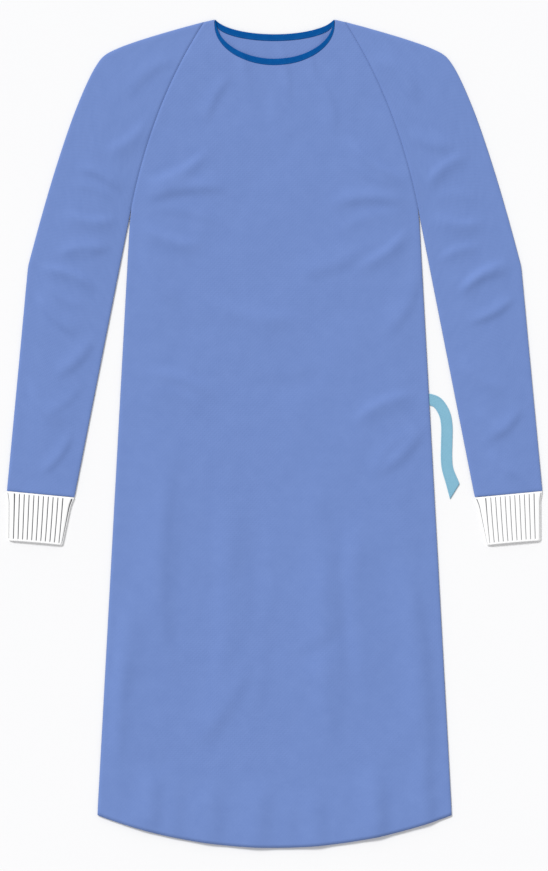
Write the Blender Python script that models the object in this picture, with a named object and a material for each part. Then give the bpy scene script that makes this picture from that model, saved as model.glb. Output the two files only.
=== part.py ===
"""A long-sleeved surgical gown, laid flat on its back with the front up.

The gown is cut from a thin nonwoven: a front in one piece, two back panels that lap over each
other, raglan sleeves with rib-knit cuffs, a binding tape round the neck, and two waist ties.

Axes: +X towards the wearer's left, +Y towards the neck, +Z up. The origin is under the middle of
the gown, on the surface that it lies on. Lengths are in metres.

Plan positions are written as (out, drop): how far out from the centre line, and how far below the
neck points. place() turns them into the frame above.
"""

from math import acos, pi, radians
from typing import NamedTuple

import bmesh
import bpy
import numpy as np

# Whole gown
GOWN_LENGTH = 1.300
CLOTH = 0.0010
SEAM_GAP = 0.0003

# Layers of the flat gown, from the surface up: outer lap, inner lap, front
LAP_LIFT = CLOTH + SEAM_GAP
FRONT_LIFT = 2 * LAP_LIFT
STACK = FRONT_LIFT + CLOTH
FOLD_RADIUS = STACK / 2
FOLD_INSIDE = FOLD_RADIUS - CLOTH
MID_HEIGHT = STACK / 2

# Side seams and shoulder seams: the layers' edges roll towards each other
ROLL_RADIUS = (FOLD_RADIUS + FOLD_INSIDE) / 2
ROLL_TURN = acos(SEAM_GAP / 2 / FOLD_INSIDE)
ROLL_LENGTH = ROLL_RADIUS * ROLL_TURN
# The side seam's roll starts a little below the raglan seam, clear of the sleeve
ROLL_SETBACK = 0.0020

# Body
UNDERARM = (0.2260, 0.2990)
HEM_CORNER = (0.2779, 1.2490)
HEM_BELLY = GOWN_LENGTH - HEM_CORNER[1]

# Neck: a straight bit below each neck point, and then half an ellipse
NECK_POINT = (0.0952, 0.0002)
RAGLAN_TOP = (0.1108, 0.0037)
RAGLAN_PULL = (0.1930, 0.1310)


class NeckArc(NamedTuple):
    """Half an ellipse across the neck: its half width, the drop of its middle, and its depth."""

    half_width: float
    centre: float
    depth: float


FRONT_SEAM = NeckArc(0.0943, 0.0077, 0.0639)
FRONT_EDGE = NeckArc(0.0920, 0.0016, 0.0600)
BACK_SEAM = NeckArc(0.0915, 0.0071, 0.0262)
BACK_EDGE = NeckArc(0.0943, -0.0062, 0.0290)

# Binding at the neck points, where the tape folds over from the back to the front
CORNER_OUT = 0.0940
CORNER_DROP = 0.0085
FRONT_START = radians(5)
BACK_START = 0.0880

# Laps of the two back panels, each as far as it reaches past the centre line
INNER_LAP_NECK = 0.0860
INNER_LAP_HEM = 0.1300
OUTER_LAP_NECK = 0.0640
OUTER_LAP_HEM = 0.1300
# The inner panel steps down to the surface between two lines beyond the outer panel's edge
STEP_HIGH_NECK = 0.0680
STEP_HIGH_HEM = 0.1800
STEP_LOW_NECK = 0.0820
STEP_LOW_HEM = 0.1940
NECK_POINT_HEM = 0.2040

# Sleeve
WRIST_OUTER = (0.4201, 0.7400)
WRIST_INNER = (0.3148, 0.7495)
UNDERARM_EASE = 1.5


class Station(NamedTuple):
    """A point of the sleeve's folded top edge: how far out, and how far below the neck points."""

    out: float
    drop: float


SLEEVE_TOP_EDGE = (
    Station(*RAGLAN_TOP),
    Station(0.1480, 0.0137),
    Station(0.1962, 0.0278),
    Station(0.2320, 0.0397),
    Station(0.2540, 0.0488),
    Station(0.2665, 0.0560),
    Station(0.2755, 0.0657),
    Station(0.2872, 0.0850),
    Station(0.3027, 0.1187),
    Station(0.3211, 0.1660),
    Station(0.3445, 0.2367),
    Station(0.3653, 0.3074),
    Station(0.3838, 0.3755),
    Station(0.3870, 0.3900),
    Station(0.3895, 0.4150),
    Station(0.4041, 0.5710),
    Station(*WRIST_OUTER),
)

# Cuff: a knit tube that is drawn in below the wrist seam
CUFF_WALL = 0.0016
CUFF_RADIUS = 0.0021
CUFF_OUTER_TOP = (0.4172, 0.7403)
CUFF_OUTER_END = (0.4176, 0.8180)
CUFF_INNER_TOP = (0.3176, 0.7498)
CUFF_INNER_END = (0.3337, 0.8253)
CUFF_FLARE = 0.0026


class CuffRing(NamedTuple):
    """A ring of the cuff: its share of the way to the open end, and its share of the flare."""

    share: float
    flare: float


CUFF_RINGS = (
    CuffRing(0.00, 1.0),
    CuffRing(0.07, 0.6),
    CuffRing(0.14, 0.2),
    CuffRing(0.22, 0.0),
    CuffRing(0.60, 0.0),
    CuffRing(0.96, 0.0),
    CuffRing(0.99, -0.35),
    CuffRing(1.00, -1.0),
)

# Waist ties, flat folded strips
TIE_WIDTH = 0.0178
TIE_THICKNESS = 0.0010
TIE_END_WIDTH = 0.0215
TIE_SLANT = 0.0090


class TiePoint(NamedTuple):
    """A point of a tie's middle line: out from the centre line, and below the neck points."""

    out: float
    drop: float


SHOWN_TIE_ROUTE = (
    TiePoint(0.2428, 0.5958),
    TiePoint(0.2560, 0.6015),
    TiePoint(0.2665, 0.6175),
    TiePoint(0.2705, 0.6370),
    TiePoint(0.2704, 0.6640),
    TiePoint(0.2701, 0.6890),
    TiePoint(0.2728, 0.7090),
    TiePoint(0.2832, 0.7410),
)
HIDDEN_TIE_START = 0.5870
HIDDEN_TIE_LENGTH = 0.1600

# Fineness
RAGLAN_STEPS = 18
NECK_STEPS = 32
BACK_NECK_STEPS = 16
FOLD_STEPS = 4
ROLL_STEPS = 3
PANEL_ROWS = 6
LAYER_STEPS = 18
CUFF_STEPS = 3
TIE_STEPS = 4

# Colours, linear RGB
SMS_BLUE = (0.175, 0.271, 0.584, 1.0)
BINDING_BLUE = (0.002, 0.087, 0.350, 1.0)
KNIT_WHITE = (0.90, 0.90, 0.90, 1.0)
TIE_BLUE = (0.275, 0.520, 0.686, 1.0)
MATT = 0.85
SMOOTH_UP_TO = radians(35)


def lerp(a, b, share):
    """The point a share of the way from a to b, for one point each or for rows of points."""
    a, b = np.asarray(a, float), np.asarray(b, float)
    share = np.asarray(share, float)[..., None]
    return a + (b - a) * share


def bezier(start, pull, end, share):
    """A quadratic curve from start to end, drawn towards pull."""
    return lerp(lerp(start, pull, share), lerp(pull, end, share), share)


def arc(neck, angles):
    """Points of a neck arc: angle 0 is its outer end, and pi / 2 is the centre line."""
    out = neck.half_width * np.cos(angles)
    drop = neck.centre + neck.depth * np.sin(angles)
    return np.stack([out, drop], axis=1)


def smooth_route(points, steps):
    """A Catmull-Rom curve through hand-set points, with some steps between each pair."""
    route = np.array(points, float)
    padded = np.vstack([2 * route[0] - route[1], route, 2 * route[-1] - route[-2]])
    before, start, end, after = padded[:-3], padded[1:-2], padded[2:-1], padded[3:]
    share = np.arange(steps)[:, None, None] / steps
    curve = start + 0.5 * (
        share * (end - before)
        + share**2 * (2 * before - 5 * start + 4 * end - after)
        + share**3 * (3 * start - before - 3 * end + after)
    )
    return np.vstack([curve.transpose(1, 0, 2).reshape(-1, 2), route[-1:]])


def normals(points):
    """Unit normals of a plan curve, a quarter turn from its direction towards larger drop."""
    tangent = np.gradient(np.asarray(points, float), axis=0)
    tangent /= np.linalg.norm(tangent, axis=1, keepdims=True)
    return np.stack([-tangent[:, 1], tangent[:, 0]], axis=1)


def shifted(points, distance):
    """A plan curve moved sideways along its normals."""
    return np.asarray(points, float) + normals(points) * distance


def place(plan, height):
    """Turns (out, drop) rows and heights into points of the frame."""
    plan = np.asarray(plan, float)
    height = np.broadcast_to(height, plan.shape[:-1])
    return np.stack([plan[..., 0], GOWN_LENGTH / 2 - plan[..., 1], height], axis=-1)


def raglan_curve():
    """The raglan seam of the wearer's left side, from the shoulder line to the underarm."""
    return bezier(RAGLAN_TOP, RAGLAN_PULL, UNDERARM, np.linspace(0, 1, RAGLAN_STEPS + 1))


def hem_point(out):
    """A point of the hem, which is a shallow circular arc between the two hem corners."""
    half = HEM_CORNER[0]
    radius = (half**2 + HEM_BELLY**2) / (2 * HEM_BELLY)
    out = np.asarray(out, float)
    drop = GOWN_LENGTH - radius + np.sqrt(radius**2 - out**2)
    return np.stack([out, drop], axis=-1)


def shell(name, outside, inside, tube, colour):
    """Makes one closed solid from its outside and inside grids.

    Both grids are rows x columns x 3. A tube's columns close on themselves, and its two ends are
    rims. Any other sheet has a rim all round.
    """
    rows, columns = outside.shape[:2]
    corner = np.arange(rows * columns).reshape(rows, columns)
    if tube:
        corner = np.hstack([corner, corner[:, :1]])
    inner = corner + rows * columns
    quads = [
        np.stack([g[:-1, :-1], g[:-1, 1:], g[1:, 1:], g[1:, :-1]], axis=-1).reshape(-1, 4)
        for g in (corner, inner[:, ::-1])
    ]
    rims = [(corner[0], inner[0]), (inner[-1], corner[-1])]
    if not tube:
        rims += [(inner[:, 0], corner[:, 0]), (corner[:, -1], inner[:, -1])]
    quads += [np.stack([a[:-1], b[:-1], b[1:], a[1:]], axis=1) for a, b in rims]

    mesh = bpy.data.meshes.new(name)
    points = np.vstack([outside.reshape(-1, 3), inside.reshape(-1, 3)])
    mesh.from_pydata(points.tolist(), [], np.vstack(quads).tolist())
    solid = bmesh.new()
    solid.from_mesh(mesh)
    bmesh.ops.recalc_face_normals(solid, faces=solid.faces)
    solid.to_mesh(mesh)
    solid.free()
    mesh.shade_smooth()
    mesh.set_sharp_from_angle(angle=SMOOTH_UP_TO)
    piece = bpy.data.objects.new(name, mesh)
    bpy.context.scene.collection.objects.link(piece)
    mesh.materials.append(finish(name, colour))
    return piece


def finish(name, colour):
    """A plain cloth material for one piece."""
    material = bpy.data.materials.new(name)
    material.use_nodes = True
    surface = material.node_tree.nodes["Principled BSDF"]
    surface.inputs["Base Color"].default_value = colour
    surface.inputs["Roughness"].default_value = MATT
    surface.inputs["Metallic"].default_value = 0.0
    return material


def rolled(plan, height, edge, mask, radius):
    """Rolls the strip beside an edge round towards the other layer.

    A point nearer to the edge than the length of the roll turns about a line that lies a fold
    radius in from the edge, so that the layer's rim faces the rim of the layer across from it.
    """
    start, end = np.asarray(edge[0], float), np.asarray(edge[1], float)
    along = (end - start) / np.linalg.norm(end - start)
    inward = np.array([-along[1], along[0]])
    away = (plan - start) @ inward
    turn = (ROLL_LENGTH - away) / ROLL_RADIUS
    turning = mask & (turn > 0)
    shift = FOLD_RADIUS - radius * np.sin(turn) - away
    plan = np.where(turning[..., None], plan + shift[..., None] * inward, plan)
    height = np.where(turning, MID_HEIGHT + radius * np.cos(turn), height)
    return plan, height


def panel_rows():
    """Shares of the way down a panel: close rows for the shoulder roll, and then even ones."""
    roll = np.linspace(0, ROLL_LENGTH, ROLL_STEPS + 1) / GOWN_LENGTH
    return np.concatenate([roll[:-1], np.linspace(roll[-1], 1, PANEL_ROWS + 1)])


def raglan_columns():
    """A panel's raglan edge, with extra points where the side seam's roll starts and turns.

    The roll's points are those whose distance from the side seam is a share of its length.
    """
    edge = shifted(raglan_curve(), SEAM_GAP / 2)
    along = np.array(HEM_CORNER) - np.array(UNDERARM)
    along /= np.linalg.norm(along)
    away = (edge - np.array(UNDERARM)) @ np.array([-along[1], along[0]])
    turns = np.linspace(1, 0, ROLL_STEPS + 1) * ROLL_LENGTH
    roll = np.stack([np.interp(-turns, -away, edge[:, k]) for k in (0, 1)], axis=1)
    flat = edge[away > ROLL_LENGTH + SEAM_GAP]
    return np.vstack([flat, roll + (0.0, ROLL_SETBACK)])


def shoulder_and_raglan():
    """A panel's top edge on the wearer's left, from the neck point to the underarm."""
    shoulder = lerp(NECK_POINT, RAGLAN_TOP, np.array([0.0, 0.5]))
    return np.vstack([shoulder, raglan_columns()])


def panel(name, top, hem_out, side, lift=None):
    """Makes a body panel with straight columns from its top edge to the hem.

    The front has side None, and rolls down at both sides. A back panel is worked out for the
    wearer's left, turned over to face down, lifted where it lies on another, and then moved to
    its side, 1 for the wearer's left and -1 for the right.
    """
    grids = []
    for radius, level in ((FOLD_RADIUS, STACK), (FOLD_INSIDE, FRONT_LIFT)):
        plan = lerp(top[None], hem_point(hem_out)[None], panel_rows()[:, None])
        height = np.full(plan.shape[:2], level)
        for hand in (1, -1) if side is None else (1,):
            flipped, height = roll_body_edges(plan * (hand, 1), height, radius)
            plan = flipped * (hand, 1)
        if side is not None:
            height = STACK - height + lift
            plan = plan * (side, 1)
        grids.append(place(plan, height))
    return shell(name, *grids, False, SMS_BLUE)


def roll_body_edges(plan, height, radius):
    """Rolls a panel's side seam edge and its short shoulder edge, on the wearer's left."""
    out, drop = plan[..., 0], plan[..., 1]
    plan, height = rolled(plan, height, (UNDERARM, HEM_CORNER), out > 0, radius)
    on_shoulder = (out[0] > NECK_POINT[0] - SEAM_GAP) & (out[0] <= RAGLAN_TOP[0])
    near_top = on_shoulder & (drop < RAGLAN_TOP[1] + 2 * ROLL_LENGTH)
    return rolled(plan, height, (NECK_POINT, RAGLAN_TOP), near_top, radius)


def front_panel():
    """The front, flat on top of the stack."""
    angles = np.append(np.linspace(pi / 2, FRONT_START, NECK_STEPS // 2 + 1), 0.0)
    neck = shifted(arc(FRONT_SEAM, angles), SEAM_GAP / 2)
    half = np.vstack([neck, shoulder_and_raglan()])
    top = np.vstack([half[:0:-1] * (-1, 1), half])
    return panel("front_panel", top, top[:, 0] * HEM_CORNER[0] / UNDERARM[0], None)


def back_neck_outs(lap):
    """How far out each point of the back neck lies, from a panel's lap to its own neck point."""
    across = np.linspace(-lap, STEP_HIGH_NECK, BACK_NECK_STEPS + 1)
    return np.append(across, [STEP_LOW_NECK, BACK_START])


def across_arc(neck, out):
    """The points of a neck arc at some distances out."""
    return np.stack([out, neck.centre + neck.depth * np.sqrt(1 - (out / neck.half_width) ** 2)], 1)


def step_lift(out):
    """How high the inner lap is lifted at the neck: fully over the outer lap, and not beyond it."""
    return np.interp(out, (STEP_HIGH_NECK, STEP_LOW_NECK), (LAP_LIFT, 0.0))


def back_panel(name, side, lap_neck, lap_hem, over_other):
    """One back panel, from its side seam to its free edge beyond the centre line."""
    neck = across_arc(BACK_SEAM, back_neck_outs(lap_neck))
    neck = np.vstack([neck, (CORNER_OUT, CORNER_DROP)])
    top = np.vstack([shifted(neck, SEAM_GAP), shoulder_and_raglan()])
    knots = (-lap_neck, STEP_HIGH_NECK, STEP_LOW_NECK, NECK_POINT[0], UNDERARM[0])
    hems = (-lap_hem, STEP_HIGH_HEM, STEP_LOW_HEM, NECK_POINT_HEM, HEM_CORNER[0])
    out = np.minimum(top[:, 0], UNDERARM[0])
    out[: len(neck) - 1] = neck[:-1, 0]
    lift = step_lift(out) if over_other else 0.0
    return panel(name, top, np.interp(out, knots, hems), side, lift)


def tube_profile(width, radius, rho, steps):
    """Goes once round a flattened tube: how far across each point lies, and its height.

    The top layer, a half-round fold, the bottom layer, and the other half-round fold. width has
    a value for each ring, and rho is the radius of the surface that is wanted.
    """
    turn = np.linspace(0, pi, FOLD_STEPS + 1)[1:-1]
    share = np.linspace(0, 1, steps + 1)
    straight = radius + (width[:, None] - 2 * radius) * share
    far = width[:, None] - radius + rho * np.sin(turn)
    near = np.broadcast_to(radius - rho * np.sin(turn), far.shape)
    across = np.hstack([straight, far, straight[:, ::-1], near])
    level = np.full(steps + 1, rho)
    height = radius + np.concatenate([level, rho * np.cos(turn), -level, -rho * np.cos(turn)])
    return across, height


def flat_tube(name, surface, width, radius, wall, steps, side, colour):
    """Makes a flattened open tube on a plan surface that takes the shares across, ring by ring."""
    grids = []
    for rho in (radius, radius - wall):
        across, height = tube_profile(width, radius, rho, steps)
        grids.append(place(surface(across / width[:, None]) * (side, 1), height))
    return shell(name, *grids, True, colour)


def spans(points):
    """The share of its length at which each point of a route lies, and the whole length."""
    steps = np.linalg.norm(np.diff(points, axis=0), axis=1)
    along = np.concatenate([[0.0], np.cumsum(steps)])
    return along / along[-1], along[-1]


def sleeve(name, side):
    """A raglan sleeve, from its seam with the body to the wrist.

    Its plan is filled in between four edges: the raglan seam, the wrist, the folded top edge and
    the underarm edge.
    """
    raglan = shifted(raglan_curve(), -SEAM_GAP / 2)
    raglan_share, raglan_length = spans(raglan)
    top_edge = np.array(SLEEVE_TOP_EDGE)
    top_edge[0] = raglan[0]
    along, _ = spans(top_edge)
    underarm_edge = lerp(raglan[-1], WRIST_INNER, along**UNDERARM_EASE)
    width = np.linalg.norm(underarm_edge - top_edge, axis=1)
    width[0] = raglan_length

    def surface(share):
        seam = np.stack([np.interp(share, raglan_share, raglan[:, k]) for k in (0, 1)], axis=-1)
        wrist = lerp(WRIST_OUTER, WRIST_INNER, share)
        ends = lerp(seam, wrist, np.broadcast_to(along[:, None], share.shape))
        corners = lerp(
            lerp(raglan[0], raglan[-1], share),
            wrist,
            np.broadcast_to(along[:, None], share.shape),
        )
        return lerp(top_edge[:, None], underarm_edge[:, None], share) + ends - corners

    return flat_tube(name, surface, width, FOLD_RADIUS, CLOTH, LAYER_STEPS, side, SMS_BLUE)


def cuff(name, side):
    """A rib-knit cuff, drawn in below the wrist seam, with its open end rounded at the corners."""
    rings = np.array(CUFF_RINGS)
    outer = lerp(CUFF_OUTER_TOP, CUFF_OUTER_END, rings[:, 0])
    inner = lerp(CUFF_INNER_TOP, CUFF_INNER_END, rings[:, 0])
    across = (outer - inner) / np.linalg.norm(outer - inner, axis=1, keepdims=True)
    flare = across * rings[:, 1:] * CUFF_FLARE
    seam = np.array([0.0, SEAM_GAP])
    outer, inner = outer + flare + seam, inner - flare + seam
    width = np.linalg.norm(outer - inner, axis=1)

    def surface(share):
        return lerp(outer[:, None], inner[:, None], share)

    return flat_tube(name, surface, width, CUFF_RADIUS, CUFF_WALL, CUFF_STEPS, side, KNIT_WHITE)


def binding_back(lap, side, over_other):
    """Sections of the binding along one back panel, from its lap to the neck point."""
    out = back_neck_outs(lap)
    seam = across_arc(BACK_SEAM, out) * (side, 1)
    edge = across_arc(BACK_EDGE, out) * (side, 1)
    lift = step_lift(out) if over_other else np.zeros(len(out))
    return [place(points, lift + level) for level in (0.0, CLOTH) for points in (seam, edge)]


def binding_corner(side):
    """Sections of the binding where it turns up at a neck point, from the back to the front."""
    turn = np.linspace(0, pi / 2, FOLD_STEPS // 2 + 1)
    corners = []
    for rho in (FOLD_RADIUS, FOLD_INSIDE):
        out = CORNER_OUT - FOLD_RADIUS + rho * np.sin(turn)
        for drop in (CORNER_DROP, 0.0):
            plan = np.stack([out * side, np.full(len(turn), drop)], axis=1)
            corners.append(place(plan, FOLD_RADIUS - rho * np.cos(turn)))
    return corners


def binding_front():
    """Sections of the binding along the front neck, from the wearer's right to the left."""
    angles = np.linspace(pi - FRONT_START, FRONT_START, NECK_STEPS + 1)
    seam = shifted(arc(FRONT_SEAM, angles), -SEAM_GAP / 2)
    edge = arc(FRONT_EDGE, angles)
    return [place(points, level) for level in (STACK, FRONT_LIFT) for points in (seam, edge)]


def neck_binding():
    """One folded tape, from the outer lap's end round the front neck to the inner lap's end.

    Each section has an outer and an inner pair of points, at the seam and at the tape's edge.
    """
    parts = [
        binding_back(OUTER_LAP_NECK, -1, False),
        binding_corner(-1),
        binding_front(),
        [points[::-1] for points in binding_corner(1)],
        [points[::-1] for points in binding_back(INNER_LAP_NECK, 1, True)],
    ]
    outer_seam, outer_edge, inner_seam, inner_edge = (np.vstack(p) for p in zip(*parts))
    outside = np.stack([outer_seam, outer_edge], axis=1)
    inside = np.stack([inner_seam, inner_edge], axis=1)
    return shell("neck_binding", outside, inside, False, BINDING_BLUE)


def strip(name, near, far):
    """A flat strip of tie on the surface, between its two long edges."""
    plan = np.stack([near, far], axis=1)
    sides = place(plan, TIE_THICKNESS), place(plan, 0.0)
    return shell(name, *sides, False, TIE_BLUE)


def shown_tie():
    """The left waist tie, from the side seam in a curve down to its slanted end."""
    route = smooth_route(SHOWN_TIE_ROUTE, TIE_STEPS)
    half = np.full(len(route), TIE_WIDTH / 2)
    half[-1] = TIE_END_WIDTH / 2
    across = normals(route) * half[:, None]
    near, far = route + across, route - across
    slant = (route[-1] - route[-2]) / np.linalg.norm(route[-1] - route[-2]) * TIE_SLANT
    near[-1] += slant
    far[-1] -= slant
    for edge, drop in ((near, route[0, 1] + TIE_WIDTH / 2), (far, route[0, 1] - TIE_WIDTH / 2)):
        seam_share = (drop - UNDERARM[1]) / (HEM_CORNER[1] - UNDERARM[1])
        edge[0] = lerp(UNDERARM, HEM_CORNER, seam_share) + (SEAM_GAP, 0.0)
    return strip("waist_tie_left", near, far)


def hidden_tie():
    """The right waist tie, lying along the outer lap's free edge, under the inner lap."""
    neck_end = across_arc(BACK_SEAM, np.array([OUTER_LAP_NECK]))[0]
    hem_end = hem_point(OUTER_LAP_HEM)
    drops = HIDDEN_TIE_START + np.linspace(0, HIDDEN_TIE_LENGTH, TIE_STEPS)
    edge = lerp(neck_end, hem_end, (drops - neck_end[1]) / (hem_end[1] - neck_end[1]))
    near = edge + (2 * SEAM_GAP, 0.0)
    return strip("waist_tie_right", near, near + (TIE_WIDTH, 0.0))


def clear_scene():
    """Removes whatever the scene holds."""
    for thing in list(bpy.data.objects):
        bpy.data.objects.remove(thing)


def main():
    """Builds the gown, a piece at a time, from the surface up."""
    clear_scene()
    back_panel("back_panel_right", -1, OUTER_LAP_NECK, OUTER_LAP_HEM, False)
    back_panel("back_panel_left", 1, INNER_LAP_NECK, INNER_LAP_HEM, True)
    for hand, side in (("right", -1), ("left", 1)):
        sleeve(f"sleeve_{hand}", side)
        cuff(f"cuff_{hand}", side)
    front_panel()
    neck_binding()
    shown_tie()
    hidden_tie()


main()
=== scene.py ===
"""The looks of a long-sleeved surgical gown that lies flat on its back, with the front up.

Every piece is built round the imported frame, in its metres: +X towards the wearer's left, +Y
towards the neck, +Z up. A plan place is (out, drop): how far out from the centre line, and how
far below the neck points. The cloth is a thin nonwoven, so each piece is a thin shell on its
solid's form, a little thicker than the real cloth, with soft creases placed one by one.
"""

import logging
import math
from collections.abc import Mapping
from dataclasses import dataclass, field, replace
from enum import Enum
from typing import Any, NamedTuple

import bpy
import numpy as np
from numpy.typing import ArrayLike, NDArray
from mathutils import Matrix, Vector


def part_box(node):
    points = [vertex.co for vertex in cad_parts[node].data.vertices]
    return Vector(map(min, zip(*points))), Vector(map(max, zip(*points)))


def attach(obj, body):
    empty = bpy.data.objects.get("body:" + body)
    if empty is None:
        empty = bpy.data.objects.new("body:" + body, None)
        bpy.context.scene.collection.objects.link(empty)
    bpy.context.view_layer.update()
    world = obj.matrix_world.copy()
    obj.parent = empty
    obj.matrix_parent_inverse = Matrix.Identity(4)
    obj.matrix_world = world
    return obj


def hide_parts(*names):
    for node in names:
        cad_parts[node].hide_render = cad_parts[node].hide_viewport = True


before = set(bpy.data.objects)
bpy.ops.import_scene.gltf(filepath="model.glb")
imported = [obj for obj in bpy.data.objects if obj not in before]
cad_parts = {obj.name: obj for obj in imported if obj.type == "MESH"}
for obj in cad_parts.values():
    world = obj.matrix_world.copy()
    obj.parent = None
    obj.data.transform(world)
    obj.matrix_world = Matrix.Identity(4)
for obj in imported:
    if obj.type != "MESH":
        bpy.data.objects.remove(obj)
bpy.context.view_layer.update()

log = logging.getLogger("gown")
Array = NDArray[np.float64]
MM = 0.001
TINY = 1e-12
# The UV map that every piece carries: its cloth spread flat, in metres
FLAT_LAY = "flat_cloth"
# The cuffs' length below the wrist seam, and how wide a rib is drawn
CUFF_REACH = 78 * MM
RIB_PITCH = 8 * MM


class Side(Enum):
    """The wearer's two sides, as the sign of x."""

    RIGHT = -1
    LEFT = 1


# ---------------------------------------------------------------------------------- plan curves


def lerp(start: ArrayLike, end: ArrayLike, share: ArrayLike) -> Array:
    """Mixes two points, or rows of points.

    Args:
        start: the point at share 0.
        end: the point at share 1.
        share: how far to go, with one axis fewer than the points.

    Returns:
        start + (end - start) x share.
    """
    start, end = np.asarray(start, float), np.asarray(end, float)
    return start + (end - start) * np.asarray(share, float)[..., None]


def bezier(start: ArrayLike, pull: ArrayLike, end: ArrayLike, share: Array) -> Array:
    """Draws a quadratic curve: two mixes towards the pull point, mixed again.

    Args:
        start: where the curve starts.
        pull: the point that it leans towards.
        end: where it ends.
        share: the parameter of each point, from 0 to 1.

    Returns:
        One row for each share.
    """
    return lerp(lerp(start, pull, share), lerp(pull, end, share), share)


def smooth_route(points: ArrayLike, steps: int) -> Array:
    """Draws a Catmull-Rom curve: a cubic between each pair, whose ends lean on the neighbours.

    Args:
        points: the given rows of coordinates.
        steps: how many steps to make between each pair.

    Returns:
        The curve's points, the first and the last among them.
    """
    route = np.asarray(points, float)
    padded = np.vstack([2 * route[0] - route[1], route, 2 * route[-1] - route[-2]])
    before, start, end, after = padded[:-3], padded[1:-2], padded[2:-1], padded[3:]
    share = np.arange(steps)[:, None, None] / steps
    curve = start + 0.5 * (
        share * (end - before)
        + share**2 * (2 * before - 5 * start + 4 * end - after)
        + share**3 * (3 * start - before - 3 * end + after)
    )
    return np.vstack([curve.transpose(1, 0, 2).reshape(-1, route.shape[1]), route[-1:]])


def lengths_along(points: Array) -> Array:
    """Adds up the distances between a route's points, from 0 at its first."""
    steps = np.linalg.norm(np.diff(points, axis=0), axis=1)
    return np.concatenate([[0.0], np.cumsum(steps)])


def route_at(route: Array, share: Array) -> Array:
    """Gives the points of a route at some shares of its length."""
    along = lengths_along(route)
    return np.stack([np.interp(share, along / along[-1], axis) for axis in route.T], axis=-1)


def unit(vectors: Array) -> Array:
    """Scales vectors to length 1, and leaves those of no length as they are."""
    return vectors / np.maximum(np.linalg.norm(vectors, axis=-1, keepdims=True), TINY)


def distance_to(points: Array, route: Array) -> Array:
    """Measures how far plan points lie from a route, segment by segment.

    Args:
        points: plan points, in rows of two.
        route: the route's points.

    Returns:
        The least distance for each point.
    """
    best = np.full(points.shape[:-1], np.inf)
    for start, end in zip(route[:-1], route[1:]):
        run = end - start
        share = np.clip(((points - start) @ run) / (run @ run), 0, 1)
        best = np.minimum(best, np.linalg.norm(points - start - share[..., None] * run, axis=-1))
    return best


def rounded(share: Array) -> Array:
    """Gives the quarter circle that rises from 0 at share 0 to 1 at share 1 and beyond."""
    return np.sqrt(1 - (1 - np.clip(share, 0, 1)) ** 2)


def eased(share: Array) -> Array:
    """Gives the smooth step 3s² - 2s³ from 0 to 1."""
    share = np.clip(share, 0, 1)
    return share * share * (3 - 2 * share)


# ------------------------------------------------------------------------------ meshes


class MeshData(NamedTuple):
    """A mesh's parts before it goes into Blender: points, quads, material of each, and UVs."""

    points: Array
    quads: NDArray[np.int64]
    finish: NDArray[np.int64]
    uv: Array


def grid_quads(corner: NDArray[np.int64]) -> NDArray[np.int64]:
    """Lists the quads between the neighbours of a grid of point numbers."""
    square = [corner[:-1, :-1], corner[:-1, 1:], corner[1:, 1:], corner[1:, :-1]]
    return np.stack(square, axis=-1).reshape(-1, 4)


def grid_normals(points: Array, tube: bool) -> Array:
    """Works out a grid's unit normals: the cross product of its two differences.

    Args:
        points: rows x columns x 3.
        tube: whether its columns close on themselves.

    Returns:
        One normal for each point.
    """
    down = np.gradient(points, axis=0)
    if tube:
        across = (np.roll(points, -1, axis=1) - np.roll(points, 1, axis=1)) / 2
    else:
        across = np.gradient(points, axis=1)
    return unit(np.cross(across, down))


def shell_data(outside: Array, inside: Array, uv: Array, tube: bool) -> MeshData:
    """Joins an outside and an inside grid into a closed shell, with a rim at each open edge.

    Args:
        outside: rows x columns x 3, whose quads turn outwards.
        inside: the same shape, on the other face of the cloth.
        uv: rows x columns x 2, in metres of flat cloth. A tube's has one more column.
        tube: whether the columns close on themselves.

    Returns:
        The shell. Its outside and rims take finish 0, and its inside takes finish 1.
    """
    rows, columns = outside.shape[:2]
    corner = np.arange(rows * columns).reshape(rows, columns)
    flat = np.arange(uv.shape[0] * uv.shape[1]).reshape(uv.shape[:2])
    if tube:
        corner = np.hstack([corner, corner[:, :1]])
    inner = corner + rows * columns
    rims = [(corner[0], inner[0], flat[0]), (inner[-1], corner[-1], flat[-1])]
    if not tube:
        rims += [(inner[:, 0], corner[:, 0], flat[:, 0])]
        rims += [(corner[:, -1], inner[:, -1], flat[:, -1])]
    quads = [grid_quads(corner), grid_quads(inner[:, ::-1])]
    places = [grid_quads(flat), grid_quads(flat[:, ::-1])]
    for near, far, at in rims:
        quads.append(np.stack([near[:-1], far[:-1], far[1:], near[1:]], axis=1))
        places.append(np.stack([at[:-1], at[:-1], at[1:], at[1:]], axis=1))
    finish = np.zeros(sum(len(q) for q in quads), np.int64)
    finish[len(quads[0]) : 2 * len(quads[0])] = 1
    points = np.vstack([outside.reshape(-1, 3), inside.reshape(-1, 3)])
    return MeshData(points, np.vstack(quads), finish, uv.reshape(-1, 2)[np.vstack(places)])


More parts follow.
